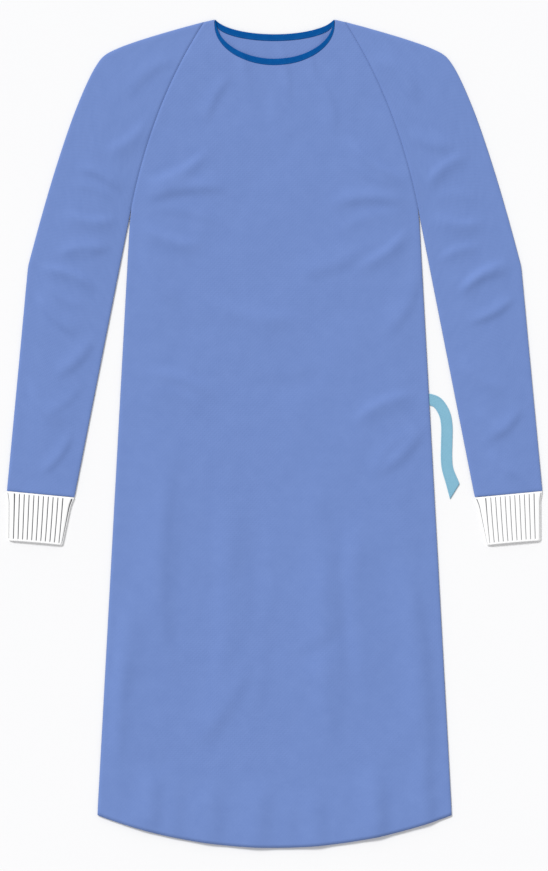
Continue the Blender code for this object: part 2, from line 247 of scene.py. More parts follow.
def make_piece(name: str, data: MeshData, finishes: list[bpy.types.Material]) -> bpy.types.Object:
    """Puts a mesh into Blender as one smooth object at the origin.

    Args:
        name: the piece's name.
        data: its points, quads and UVs.
        finishes: the materials that its quads' finish numbers name.

    Returns:
        The object.
    """
    mesh = bpy.data.meshes.new(name)
    count = len(data.quads)
    mesh.vertices.add(len(data.points))
    mesh.vertices.foreach_set("co", data.points.astype(np.float32).ravel())
    mesh.loops.add(4 * count)
    mesh.loops.foreach_set("vertex_index", data.quads.astype(np.int32).ravel())
    mesh.polygons.add(count)
    mesh.polygons.foreach_set("loop_start", np.arange(0, 4 * count, 4, dtype=np.int32))
    mesh.polygons.foreach_set("material_index", data.finish.astype(np.int32))
    mesh.update(calc_edges=True)
    flat = mesh.uv_layers.new(name=FLAT_LAY)
    flat.data.foreach_set("uv", data.uv.astype(np.float32).ravel())
    mesh.validate()
    mesh.shade_smooth()
    for finish in finishes:
        mesh.materials.append(finish)
    piece = bpy.data.objects.new(name, mesh)
    bpy.context.scene.collection.objects.link(piece)
    return piece


def declare(piece: bpy.types.Object, slot: str, *nodes: str) -> None:
    """Rides a piece on the gown's one body, hides the CAD nodes that it replaces, and logs its face
    count.

    Args:
        piece: the piece.
        slot: not used.
        nodes: the CAD nodes that it replaces, if any.
    """
    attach(piece, "root")
    if nodes:
        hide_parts(*nodes)
    log.info("%s: %d faces", piece.name, len(piece.data.polygons))


# ---------------------------------------------------------------------------- finishes


def hex_colour(code: str) -> tuple[float, float, float, float]:
    """Turns an sRGB hex code such as 6F89C4 into a linear colour, by the standard's own curve.

    Args:
        code: two hex digits each for red, green and blue.

    Returns:
        Linear red, green and blue, and an alpha of 1.
    """
    parts = [int(code[k : k + 2], 16) / 255 for k in (0, 2, 4)]
    linear = [p / 12.92 if p <= 0.04045 else ((p + 0.055) / 1.055) ** 2.4 for p in parts]
    return (*linear, 1.0)


def set_inputs(tree: bpy.types.NodeTree, node: bpy.types.Node, inputs: Mapping[Any, Any]) -> None:
    """Fills a node's sockets.

    Args:
        tree: the tree that the node stands in.
        node: the node.
        inputs: a constant for each socket, or another node's output to link to it.
    """
    for key, value in inputs.items():
        if isinstance(value, bpy.types.NodeSocket):
            tree.links.new(value, node.inputs[key])
        else:
            node.inputs[key].default_value = value


def add_node(
    tree: bpy.types.NodeTree, kind: str, inputs: Mapping[Any, Any], **settings: Any
) -> bpy.types.Node:
    """Adds a node to a material.

    Args:
        tree: the material's nodes.
        kind: the node's type, without the first words that all types share.
        inputs: a constant for each socket, or another node's output to link to it.
        settings: the node's own properties.

    Returns:
        The node.
    """
    node = tree.nodes.new(f"ShaderNode{kind}")
    for key, value in settings.items():
        setattr(node, key, value)
    set_inputs(tree, node, inputs)
    return node


def crossed_waves(
    tree: bpy.types.NodeTree, place: bpy.types.NodeSocket, pitch: float, turn: float = 0.0
) -> bpy.types.NodeSocket:
    """Multiplies sin(pi x / pitch) by sin(pi y / pitch) of a turned place.

    Args:
        tree: the material's nodes.
        place: the cloth's flat place, in metres.
        pitch: how far apart the waves' crests and troughs lie.
        turn: how far the waves are turned, in radians.

    Returns:
        The product, from -1 to 1.
    """
    inputs = {"Vector": place, "Rotation": (0, 0, turn), "Scale": (math.pi / pitch,) * 3}
    turned = add_node(tree, "Mapping", inputs)
    axes = add_node(tree, "SeparateXYZ", {0: turned.outputs[0]})
    waves = [add_node(tree, "Math", {0: axes.outputs[k]}, operation="SINE") for k in (0, 1)]
    product = {k: wave.outputs[0] for k, wave in enumerate(waves)}
    return add_node(tree, "Math", product, operation="MULTIPLY").outputs[0]


def slanted_waves(
    tree: bpy.types.NodeTree, across: bpy.types.NodeSocket, along: bpy.types.NodeSocket,
    lean: float, pitch: float,
) -> bpy.types.NodeSocket:
    """Gives sin(2 pi (lean x across + along) / pitch).

    Args:
        tree: the material's nodes.
        across: the place across the thread or rib, in metres.
        along: the place along it.
        lean: how much the waves slant.
        pitch: how far apart their crests lie along it.

    Returns:
        The waves, from -1 to 1.
    """
    slant = add_node(tree, "Math", {0: across, 1: lean, 2: along}, operation="MULTIPLY_ADD")
    turns = {0: slant.outputs[0], 1: 2 * math.pi / pitch}
    phase = add_node(tree, "Math", turns, operation="MULTIPLY")
    return add_node(tree, "Math", {0: phase.outputs[0]}, operation="SINE").outputs[0]


@dataclass(frozen=True)
class Finish:
    """What every finish has: a name, a light tone, and a dark one where it isn't plain."""

    name: str
    light: str
    dark: str = ""

    def start(self) -> tuple[bpy.types.Material, bpy.types.NodeTree, bpy.types.NodeSocket]:
        """Starts the material.

        Returns:
            The material, its nodes and the cloth's flat place in metres.
        """
        material = bpy.data.materials.new(self.name)
        material.use_nodes = True
        flat = add_node(material.node_tree, "UVMap", {}, uv_map=FLAT_LAY)
        return material, material.node_tree, flat.outputs[0]

    def mixed(
        self, tree: bpy.types.NodeTree, share: bpy.types.NodeSocket | float
    ) -> bpy.types.NodeSocket:
        """Mixes the dark tone, which is pure at share 0, with the light one."""
        tones = {0: share, 6: hex_colour(self.dark), 7: hex_colour(self.light)}
        return add_node(tree, "Mix", tones, data_type="RGBA").outputs[2]

    def dress(
        self, tree: bpy.types.NodeTree, colour: Any, bump: Mapping[str, Any],
        inputs: Mapping[str, Any],
    ) -> None:
        """Raises the relief and fills the surface's sockets.

        Args:
            tree: the material's nodes.
            colour: a linear colour, or the output that gives it.
            bump: the relief's height, distance and strength.
            inputs: the surface's other sockets.
        """
        raised = add_node(tree, "Bump", bump)
        shared = {"Base Color": colour, "Normal": raised.outputs[0]}
        set_inputs(tree, tree.nodes["Principled BSDF"], {**shared, **inputs})


@dataclass(frozen=True)
class SpunbondNonwoven(Finish):
    """Spunbond-meltblown-spunbond polypropylene, a limp nonwoven that hot rollers bond in points.

    To the eye it is matt and even: a cloudy laydown of fine fibres, a close emboss of small
    oval bond points, and a faint bloom where light grazes it. It is darker where the laydown is
    thin.
    """

    # Real bond points lie 2 mm apart: these are drawn at 4.4 mm, so that they show at all
    bond_pitch: float = 4.4 * MM
    bond_turn: float = math.radians(45)
    bond_relief: float = 0.18 * MM
    bump: float = 0.55
    # A bond point's rim, as heights of the crossed waves
    bond_rim: tuple[float, float] = (0.55, 0.95)
    # Clouds of the fibre laydown are 10 to 30 mm across
    cloud_size: float = 22 * MM
    cloud_share: float = 0.55
    # Fibres are 0.02 mm thick: their streaks are drawn 1 mm wide, and 4.5 times as long
    streak_size: float = 1.0 * MM
    streak_squeeze: float = 0.22
    streak_relief: float = 0.8
    # The laydown's thinnest and thickest shares
    laydown_range: tuple[float, float] = (0.30, 0.70)
    # The cloth between the bond points, and the smoother film in them
    roughness: float = 0.82
    bond_roughness: float = 0.66

    def make(self) -> bpy.types.Material:
        """Builds the cloth's nodes.

        Returns:
            The material. Its pattern follows the cloth's own flat lay in the UV map.
        """
        material, tree, flat = self.start()
        wide = {"Vector": flat, "Scale": 1 / self.cloud_size, "Detail": 3.0, "Roughness": 0.6}
        clouds = add_node(tree, "TexNoise", wide).outputs["Fac"]
        squeeze = {"Vector": flat, "Scale": (1.0, self.streak_squeeze, 1.0)}
        squeezed = add_node(tree, "Mapping", squeeze).outputs[0]
        fine = {"Vector": squeezed, "Scale": 1 / self.streak_size, "Detail": 2.0}
        streaks = add_node(tree, "TexNoise", fine).outputs["Fac"]
        cloudy = add_node(tree, "Math", {0: clouds, 1: self.cloud_share}, operation="MULTIPLY")
        both = {0: streaks, 1: 1 - self.cloud_share, 2: cloudy.outputs[0]}
        laydown = add_node(tree, "Math", both, operation="MULTIPLY_ADD")
        low, high = self.laydown_range
        reach = {0: laydown.outputs[0], "From Min": low, "From Max": high}
        shade = add_node(tree, "MapRange", reach)
        points = self.bond_points(tree, flat)
        gloss = add_node(
            tree, "MapRange", {0: points, "To Min": self.roughness, "To Max": self.bond_roughness}
        )
        raised = add_node(tree, "Math", {0: streaks, 1: self.streak_relief}, operation="MULTIPLY")
        sunk = {0: points, 1: -1.0, 2: raised.outputs[0]}
        height = add_node(tree, "Math", sunk, operation="MULTIPLY_ADD").outputs[0]
        self.dress(
            tree, self.mixed(tree, shade.outputs[0]),
            {"Strength": self.bump, "Distance": self.bond_relief, "Height": height},
            {"Roughness": gloss.outputs[0], "Specular IOR Level": 0.30, "Sheen Weight": 0.10,
             "Sheen Roughness": 0.45},
        )
        return material

    def bond_points(
        self, tree: bpy.types.NodeTree, flat: bpy.types.NodeSocket
    ) -> bpy.types.NodeSocket:
        """Marks the bond points, where crossed waves are high or low.

        Args:
            tree: the material's nodes.
            flat: the cloth's flat place, in metres.

        Returns:
            1 in a bond point and 0 between them, with a soft rim.
        """
        crossed = crossed_waves(tree, flat, self.bond_pitch, self.bond_turn)
        size = add_node(tree, "Math", {0: crossed}, operation="ABSOLUTE").outputs[0]
        rim = {0: size, "From Min": self.bond_rim[0], "From Max": self.bond_rim[1]}
        return add_node(tree, "MapRange", rim, interpolation_type="SMOOTHSTEP").outputs[0]


@dataclass(frozen=True)
class RibKnit(Finish):
    """Polyester 1 x 1 rib from a circular knitting machine.

    To the eye it is white and slightly fuzzy, with rounded columns of V-shaped loops and a
    furrow between them, whose shade is painted into the colour as a dark tone.
    """

    # Real loops are 1.2 mm long: these are drawn at 2.2 mm
    loop_length: float = 2.2 * MM
    loop_slant: float = 0.7
    fuzz_size: float = 1.2 * MM
    # The loops' share in the relief, to the fuzz's 1
    loop_relief: float = 0.5
    relief: float = 0.25 * MM
    bump: float = 0.6
    # The painted furrow shade: its dark middle and its rim, as shares of half a rib
    furrow_shade_edges: tuple[float, float] = (0.05, 0.30)
    # How far from the wrist seam and from the finished edge the painted furrow shade fades out
    seam_shade_fade: tuple[float, float] = (3.6 * MM, 1.4 * MM)
    mouth_shade_fade: tuple[float, float] = (4.4 * MM, 2.4 * MM)

    def make(self) -> bpy.types.Material:
        """Builds the knit's nodes.

        Returns:
            The material. Its pattern follows the ribs in the UV map.
        """
        material, tree, flat = self.start()
        axes = add_node(tree, "SeparateXYZ", {0: flat}).outputs
        half_rib = RIB_PITCH / 2
        across = add_node(tree, "Math", {0: axes[0], 1: half_rib}, operation="PINGPONG").outputs[0]
        share = add_node(tree, "Math", {0: across, 1: half_rib}, operation="DIVIDE").outputs[0]
        # Painted shade: a furrow's middle takes the dark tone, except beside the seam and the
        # finished edge
        fades = (
            (share, *self.furrow_shade_edges),
            (axes[1], -self.seam_shade_fade[0], -self.seam_shade_fade[1]),
            (axes[1], self.mouth_shade_fade[0] - CUFF_REACH, self.mouth_shade_fade[1] - CUFF_REACH),
        )
        lit: Any = 0.0
        for place, low, high in fades:
            ends = {0: place, "From Min": low, "From Max": high}
            fade = add_node(tree, "MapRange", ends, interpolation_type="SMOOTHSTEP").outputs[0]
            lit = add_node(tree, "Math", {0: lit, 1: fade}, operation="MAXIMUM").outputs[0]
        loops = slanted_waves(tree, across, axes[1], self.loop_slant, self.loop_length)
        fine = {"Vector": flat, "Scale": 1 / self.fuzz_size, "Detail": 2.0}
        fuzz = add_node(tree, "TexNoise", fine).outputs["Fac"]
        both = {0: loops, 1: self.loop_relief, 2: fuzz}
        height = add_node(tree, "Math", both, operation="MULTIPLY_ADD").outputs[0]
        self.dress(
            tree, self.mixed(tree, lit),
            {"Strength": self.bump, "Distance": self.relief, "Height": height},
            {"Roughness": 0.9, "Specular IOR Level": 0.2, "Sheen Weight": 0.15,
             "Sheen Roughness": 0.5},
        )
        return material


@dataclass(frozen=True)
class WovenTape(Finish):
    """Plain-woven polyester-cotton tape, piece-dyed, that is folded over an edge.

    To the eye it is dark and matt, with fine threads across it and slightly paler patches.
    """

    # Real threads lie 0.4 mm apart: these are drawn at 1.3 mm
    thread_pitch: float = 1.3 * MM
    patch_size: float = 9 * MM
    relief: float = 0.12 * MM
    bump: float = 0.6
    # The threads' share in the tone, to the patches' 1, and the sums at which each tone is pure
    thread_share: float = 0.25
    tone_range: tuple[float, float] = (0.35, 0.90)

    def make(self) -> bpy.types.Material:
        """Builds the tape's nodes.

        Returns:
            The material. Its threads follow the tape in the UV map.
        """
        material, tree, flat = self.start()
        weave = crossed_waves(tree, flat, self.thread_pitch)
        wide = {"Vector": flat, "Scale": 1 / self.patch_size, "Detail": 3.0}
        patches = add_node(tree, "TexNoise", wide).outputs["Fac"]
        both = {0: weave, 1: self.thread_share, 2: patches}
        worn = add_node(tree, "Math", both, operation="MULTIPLY_ADD")
        low, high = self.tone_range
        shade = add_node(tree, "MapRange", {0: worn.outputs[0], "From Min": low, "From Max": high})
        self.dress(
            tree, self.mixed(tree, shade.outputs[0]),
            {"Strength": self.bump, "Distance": self.relief, "Height": weave},
            {"Roughness": 0.85, "Specular IOR Level": 0.08},
        )
        return material


@dataclass(frozen=True)
class SpunThread(Finish):
    """Spun polyester sewing thread of two plies: matt, with a twist that reads as fine slants."""

    # Real plies turn once in 1 mm: these turn once in 1.6 mm
    twist_pitch: float = 1.6 * MM
    twist_slant: float = 2.0
    relief: float = 0.1 * MM
    bump: float = 0.5

    def make(self) -> bpy.types.Material:
        """Builds the thread's nodes.

        Returns:
            The material. Its slants follow each stitch in the UV map.
        """
        material, tree, flat = self.start()
        axes = add_node(tree, "SeparateXYZ", {0: flat}).outputs
        twist = slanted_waves(tree, axes[0], axes[1], self.twist_slant, self.twist_pitch)
        self.dress(
            tree, hex_colour(self.light),
            {"Strength": self.bump, "Distance": self.relief, "Height": twist},
            {"Roughness": 0.7, "Specular IOR Level": 0.3},
        )
        return material


@dataclass(frozen=True)
class StudioPaper(Finish):
    """Seamless background paper, uncoated and white: flat, with the faintest unevenness."""

    # Patches of the paper's tone are 0.4 m across
    patch_size: float = 0.4

    def make(self) -> bpy.types.Material:
        """Builds the paper's nodes.

        Returns:
            The material, whose tone drifts over the floor.
        """
        material, tree, flat = self.start()
        drift = {"Vector": flat, "Scale": 1 / self.patch_size}
        tone = add_node(tree, "TexNoise", drift).outputs["Fac"]
        inputs = {"Base Color": self.mixed(tree, tone), "Roughness": 0.95}
        surface = tree.nodes["Principled BSDF"]
        set_inputs(tree, surface, {**inputs, "Specular IOR Level": 0.1})
        return material


# ------------------------------------------------------------------------- the flat gown


@dataclass(frozen=True)
class NeckArc:
    """Half an ellipse across the neck: half its width, the drop of its middle, and its depth."""

    half_width: float
    centre: float
    depth: float

    def at_angle(self, angles: Array) -> Array:
        """Gives (half width x cos, centre + depth x sin): 0 is the end and a quarter the middle."""
        across = self.half_width * np.cos(angles)
        return np.stack([across, self.centre + self.depth * np.sin(angles)], axis=-1)

    def at_out(self, out: Array) -> Array:
        """Gives the arc's points at some distances out."""
        rise = np.sqrt(np.maximum(1 - (out / self.half_width) ** 2, 0))
        return np.stack([out, self.centre + self.depth * rise], axis=-1)


@dataclass(frozen=True)
class Layers:
    """Heights of the gown's layers above the surface, and the thinness of its cloth."""

    cloth: float = 0.6 * MM
    inner_lap: float = 1.3 * MM
    front: float = 2.6 * MM
    fold_level: float = 1.75 * MM
    fold_reach: float = 6.0 * MM
    groove_depth: float = 1.35 * MM
    groove_reach: float = 1.7 * MM
    # The underside's seams are pulled up less, so that the cloth beside them stays down
    under_groove: float = 0.5 * MM


# How far the solid's rounded edge stops short of the hem's corner
HEM_ROUNDING = 0.09 * MM


@dataclass(frozen=True)
class Plan:
    """Where the seams and edges lie, in plan places of the wearer's left side."""

    neck_level: float
    length: float
    hem_half: float
    wrist_out: float
    seam_gap: float = 0.3 * MM
    neck_point: tuple[float, float] = (0.0948, 0.0002)
    raglan_top: tuple[float, float] = (0.1108, 0.0037)
    raglan_pull: tuple[float, float] = (0.1930, 0.1310)
    underarm: tuple[float, float] = (0.2260, 0.2990)
    hem_corner_drop: float = 1.2490
    wrist_outer_drop: float = 0.7400
    wrist_inner: tuple[float, float] = (0.3148, 0.7495)
    # How slowly the sleeve's rings part along its underarm edge, beside the seam
    underarm_ease: float = 1.5
    # Steps of the raglan seam, of the side seam, and of the top edge between two of its places
    raglan_steps: int = 60
    side_steps: int = 39
    top_edge_steps: int = 8
    front_seam: NeckArc = NeckArc(0.0943, 0.0077, 0.0639)
    front_edge: NeckArc = NeckArc(0.0920, 0.0016, 0.0600)
    back_seam: NeckArc = NeckArc(0.0915, 0.0071, 0.0262)
    back_edge: NeckArc = NeckArc(0.0943, -0.0062, 0.0290)
    corner: tuple[float, float] = (0.0940, 0.0085)
    # The sleeve's folded top edge between the raglan seam and the wrist: shoulder, cap, elbow
    top_edge_between: tuple[tuple[float, float], ...] = (
        (0.1480, 0.0137), (0.1962, 0.0278), (0.2320, 0.0397), (0.2540, 0.0488),
        (0.2665, 0.0560), (0.2755, 0.0657), (0.2872, 0.0850), (0.3027, 0.1187),
        (0.3211, 0.1660), (0.3445, 0.2367), (0.3653, 0.3074), (0.3838, 0.3755),
        (0.3870, 0.3900), (0.3895, 0.4150), (0.4041, 0.5710),
    )

    @classmethod
    def from_frame(cls) -> "Plan":
        """Takes the neck level, the length, the hem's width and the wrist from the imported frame.

        Returns:
            The plan.
        """
        front_low, front_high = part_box("front_panel")
        _, binding_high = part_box("neck_binding")
        _, sleeve_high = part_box("sleeve_left")
        return cls(
            neck_level=binding_high.y,
            length=binding_high.y - front_low.y,
            hem_half=front_high.x + HEM_ROUNDING,
            wrist_out=sleeve_high.x,
        )

    @property
    def hem_corner(self) -> tuple[float, float]:
        """The corner where the side seam meets the hem."""
        return self.hem_half, self.hem_corner_drop

    def raglan(self) -> Array:
        """Draws the raglan seam from the shoulder line to the underarm."""
        share = np.linspace(0, 1, self.raglan_steps + 1)
        return bezier(self.raglan_top, self.raglan_pull, self.underarm, share)

    def beside_raglan(self, offset: float) -> Array:
        """Moves the raglan seam sideways along its normals.

        Args:
            offset: how far, towards the body where positive.

        Returns:
            The moved seam.
        """
        seam = self.raglan()
        heading = unit(np.gradient(seam, axis=0))
        return seam + np.stack([-heading[:, 1], heading[:, 0]], axis=1) * offset

    def side_outline(self) -> Array:
        """Draws a panel's outer side.

        Returns:
            The raglan seam's points, and then the side seam's down to the hem.
        """
        seam = self.beside_raglan(self.seam_gap / 2)
        share = np.linspace(0, 1, self.side_steps + 1)[1:]
        side = lerp(self.underarm, self.hem_corner, share)
        return np.vstack([seam[:-1], side])

    def hem(self, out: Array) -> Array:
        """Draws the hem, a shallow circular arc: its centre's drop + sqrt(radius² - out²).

        Args:
            out: distances out from the centre line.

        Returns:
            A plan place for each.
        """
        belly = self.length - self.hem_corner_drop
        radius = (self.hem_half**2 + belly**2) / (2 * belly)
        drop = self.length - radius + np.sqrt(radius**2 - np.asarray(out) ** 2)
        return np.stack([np.asarray(out, float), drop], axis=-1)

    def sleeve_top_edge(self) -> Array:
        """Draws the sleeve's folded top edge from the raglan seam to the wrist."""
        places = [self.raglan_top, *self.top_edge_between, (self.wrist_out, self.wrist_outer_drop)]
        return smooth_route(places, self.top_edge_steps)

    def wrist(self) -> Array:
        """Draws the wrist seam from the sleeve's outer fold to its inner edge."""
        return np.array([(self.wrist_out, self.wrist_outer_drop), self.wrist_inner])

    def folds(self) -> list[Array]:
        """Lists the wearer's left edges where the front turns into the back.

        Returns:
            The shoulder, the sleeve's top edge, its underarm edge and the side seam.
        """
        return [
            np.array([self.neck_point, self.raglan_top]),
            self.sleeve_top_edge(),
            np.array([self.underarm, self.wrist_inner]),
            np.array([self.underarm, self.hem_corner]),
        ]

    def place(self, flat: Array, height: ArrayLike) -> Array:
        """Turns plan places and heights into points of the frame."""
        height = np.broadcast_to(height, flat.shape[:-1])
        return np.stack([flat[..., 0], self.neck_level - flat[..., 1], height], axis=-1)


class Crease(NamedTuple):
    """One soft fold, given in millimetres: its two ends, its middle's bow, and its size.

    Out grows towards the wearer's left. A trough has a negative height. skew makes the side that
    lies on the left of its way wider and the other steeper.
    """

    start_out: float
    start_drop: float
    end_out: float
    end_drop: float
    bow: float
    width: float
    height: float
    skew: float = 0.25


# Folds of the upper side: out and drop of the start and of the end, bow, width, height and skew
UPPER_CREASES = tuple(Crease(*row) for row in (
    # Drag lines from the wearer's right underarm
    (-216, 262, -96, 200, 12, 8.5, 3.0),
    (-214, 286, -60, 268, -14, 11.0, 3.8, -0.3),
    (-218, 312, -104, 352, 16, 9.5, 3.0),
    (-210, 352, -140, 452, 14, 12.0, 2.4, -0.2),
    # Drag lines from the wearer's left underarm
    (214, 256, 110, 176, -14, 9.0, 3.2, -0.3),
    (217, 292, 78, 296, 16, 10.5, 3.4),
    (215, 322, 120, 392, -12, 9.0, 2.8, -0.25),
    (222, 372, 164, 498, -18, 13.0, 2.4),
    # Below the neck
    (-64, 82, -112, 168, 8, 9.0, 1.6),
    (58, 86, 94, 184, -10, 10.0, 1.8),
    (-16, 92, 10, 214, 10, 13.0, -1.2),
    # Chest and waist
    (-118, 420, 38, 470, 24, 16.0, 2.2, 0.35),
    (26, 392, 150, 344, 16, 15.0, 2.0, -0.3),
    (-216, 560, -80, 606, -18, 12.0, 2.6, 0.3),
    (-60, 566, 90, 548, 20, 17.0, -1.6),
    (232, 590, 118, 642, 14, 11.0, 3.0, -0.35),
    (236, 622, 142, 716, -16, 12.0, 2.6),
    # Skirt: long folds that run down and fade
    (-150, 640, -178, 1020, 20, 20.0, 3.2, 0.35),
    (-86, 700, -100, 1120, -24, 23.0, 2.8, -0.3),
    (-20, 660, 6, 1040, 22, 21.0, -1.8),
    (52, 720, 80, 1160, -20, 24.0, 3.4, 0.3),
    (134, 760, 160, 1080, 18, 20.0, 2.6, -0.35),
    (196, 820, 226, 1200, -12, 19.0, 3.0, 0.25),
    (-214, 880, -240, 1190, 12, 18.0, 2.8, -0.25),
    (-40, 980, -150, 1150, -22, 17.0, 2.0),
    (20, 1010, 124, 930, 18, 16.0, -1.4),
    # Hem: short flutes
    (-186, 1170, -196, 1290, 4, 17.0, 3.0),
    (-108, 1190, -104, 1320, -4, 20.0, 2.6),
    (-22, 1180, -26, 1330, 4, 22.0, 3.0),
    (64, 1200, 70, 1330, 4, 18.0, 2.6),
    (150, 1160, 160, 1310, -4, 20.0, 3.4),
    (232, 1130, 244, 1290, 3, 15.0, 2.8),
    # Wearer's right sleeve
    (-150, 60, -238, 130, 14, 11.0, 1.8),
    (-196, 150, -276, 210, -14, 11.0, 2.4, -0.3),
    (-236, 276, -318, 232, 12, 9.0, 3.0),
    (-240, 312, -338, 300, -12, 10.0, 3.0, -0.3),
    (-252, 362, -350, 372, 10, 9.0, 2.6),
    (-374, 392, -276, 430, -12, 8.5, 3.6, 0.3),
    (-378, 420, -300, 498, 10, 9.0, 3.0, -0.3),
    (-284, 486, -356, 560, -14, 11.0, 2.4),
    (-386, 560, -326, 640, 12, 10.0, 2.2, -0.2),
    (-318, 640, -376, 716, -10, 9.0, 2.2),
    # Wearer's left sleeve
    (146, 52, 226, 140, -16, 12.0, 2.0),
    (206, 168, 292, 196, 14, 10.0, 2.4, -0.3),
    (238, 268, 310, 214, -12, 9.0, 2.8),
    (238, 304, 336, 318, 12, 10.0, 3.2, 0.3),
    (254, 384, 330, 360, -10, 9.0, 2.4),
    (376, 384, 288, 440, 14, 9.0, 3.4, -0.3),
    (380, 428, 296, 474, -10, 8.5, 3.0),
    (290, 520, 366, 584, 14, 11.0, 2.4, 0.3),
    (388, 600, 322, 660, -12, 9.5, 2.2),
    (336, 670, 388, 720, 8, 9.0, 2.0),
))

# Folds of the underside, where the cloth is lifted off the surface
UNDER_CREASES = tuple(Crease(*row) for row in (
    (-212, 270, -110, 220, 12, 8.0, 1.1),
    (-210, 300, -70, 330, -14, 10.0, 1.3, -0.3),
    (212, 262, 110, 216, -12, 8.0, 1.2),
    (214, 306, 90, 342, 14, 10.0, 1.2, -0.3),
    (-52, 36, -30, 120, 6, 7.5, 1.0),
    (4, 36, 20, 140, -6, 8.5, 1.2),
    (56, 34, 72, 110, 6, 7.0, 0.9),
    (-60, 420, 60, 470, 20, 13.0, 1.2),
    (-210, 580, -90, 640, -18, 11.0, 1.3),
    (226, 640, 150, 720, 14, 10.0, 1.3),
    (-140, 700, -160, 1080, 20, 16.0, 1.4),
    (-20, 760, -60, 1180, -22, 17.0, 1.2),
    (80, 820, 100, 1200, 18, 16.0, 1.4),
    (220, 900, 236, 1210, -10, 14.0, 1.3),
    (-226, 960, -244, 1230, 10, 13.0, 1.2),
    (-150, 1180, -156, 1300, 4, 14.0, 1.3),
    (20, 1200, 18, 1320, -4, 15.0, 1.2),
    (160, 1190, 166, 1300, 4, 14.0, 1.3),
    (-246, 290, -330, 262, 12, 8.5, 1.2),
    (-254, 350, -344, 366, -10, 8.5, 1.2),
    (-372, 400, -290, 452, 12, 8.0, 1.4),
    (-300, 560, -370, 620, -12, 9.0, 1.1),
    (244, 284, 328, 290, -12, 8.5, 1.2),
    (374, 396, 290, 430, 12, 8.0, 1.4),
    (262, 400, 350, 470, -10, 9.0, 1.1),
    (310, 600, 380, 650, 12, 9.0, 1.2),
))

# A crease's steps from end to end, the share of its length over which it fades at either end,
# and how many widths away it still lifts the cloth
CREASE_STEPS = 12
CREASE_FADE = 0.35
CREASE_REACH = 4


def crease_height(places: Array, crease: Crease) -> Array:
    """Works out one fold: height x exp(-(distance / width)²) x its fade towards the ends.

    Args:
        places: plan places with the wearer's side in their sign.
        crease: the fold.

    Returns:
        How far it lifts each place.
    """
    start, end = np.array(crease[:4]).reshape(2, 2) * MM
    bow, width, height = np.array(crease[4:7]) * MM
    run = end - start
    aside = unit(np.array([-run[1], run[0]]))
    steps = np.linspace(0, 1, CREASE_STEPS + 1)
    route = bezier(start, (start + end) / 2 + 2 * bow * aside, end, steps)
    reach = CREASE_REACH * width
    low, high = route.min(axis=0) - reach, route.max(axis=0) + reach
    near = np.all((places >= low) & (places <= high), axis=-1)
    lifted = np.zeros(places.shape[:-1])
    if not near.any():
        return lifted
    spots = places[near]
    best = np.full(len(spots), np.inf)
    share = np.zeros(len(spots))
    left = np.zeros(len(spots))
    for k, (here, there) in enumerate(zip(route[:-1], route[1:])):
        step = there - here
        away = spots - here
        along = np.clip((away @ step) / (step @ step), 0, 1)
        gap = np.linalg.norm(away - along[:, None] * step, axis=1)
        closer = gap < best
        best = np.where(closer, gap, best)
        share = np.where(closer, (k + along) / CREASE_STEPS, share)
        left = np.where(closer, np.sign(step[0] * away[:, 1] - step[1] * away[:, 0]), left)
    skewed = width * (1 + crease.skew * left * (1 - np.exp(-((best / width) ** 2))))
    fade = eased(share / CREASE_FADE) * eased((1 - share) / CREASE_FADE)
    lifted[near] = height * np.exp(-((best / skewed) ** 2)) * fade
    return lifted


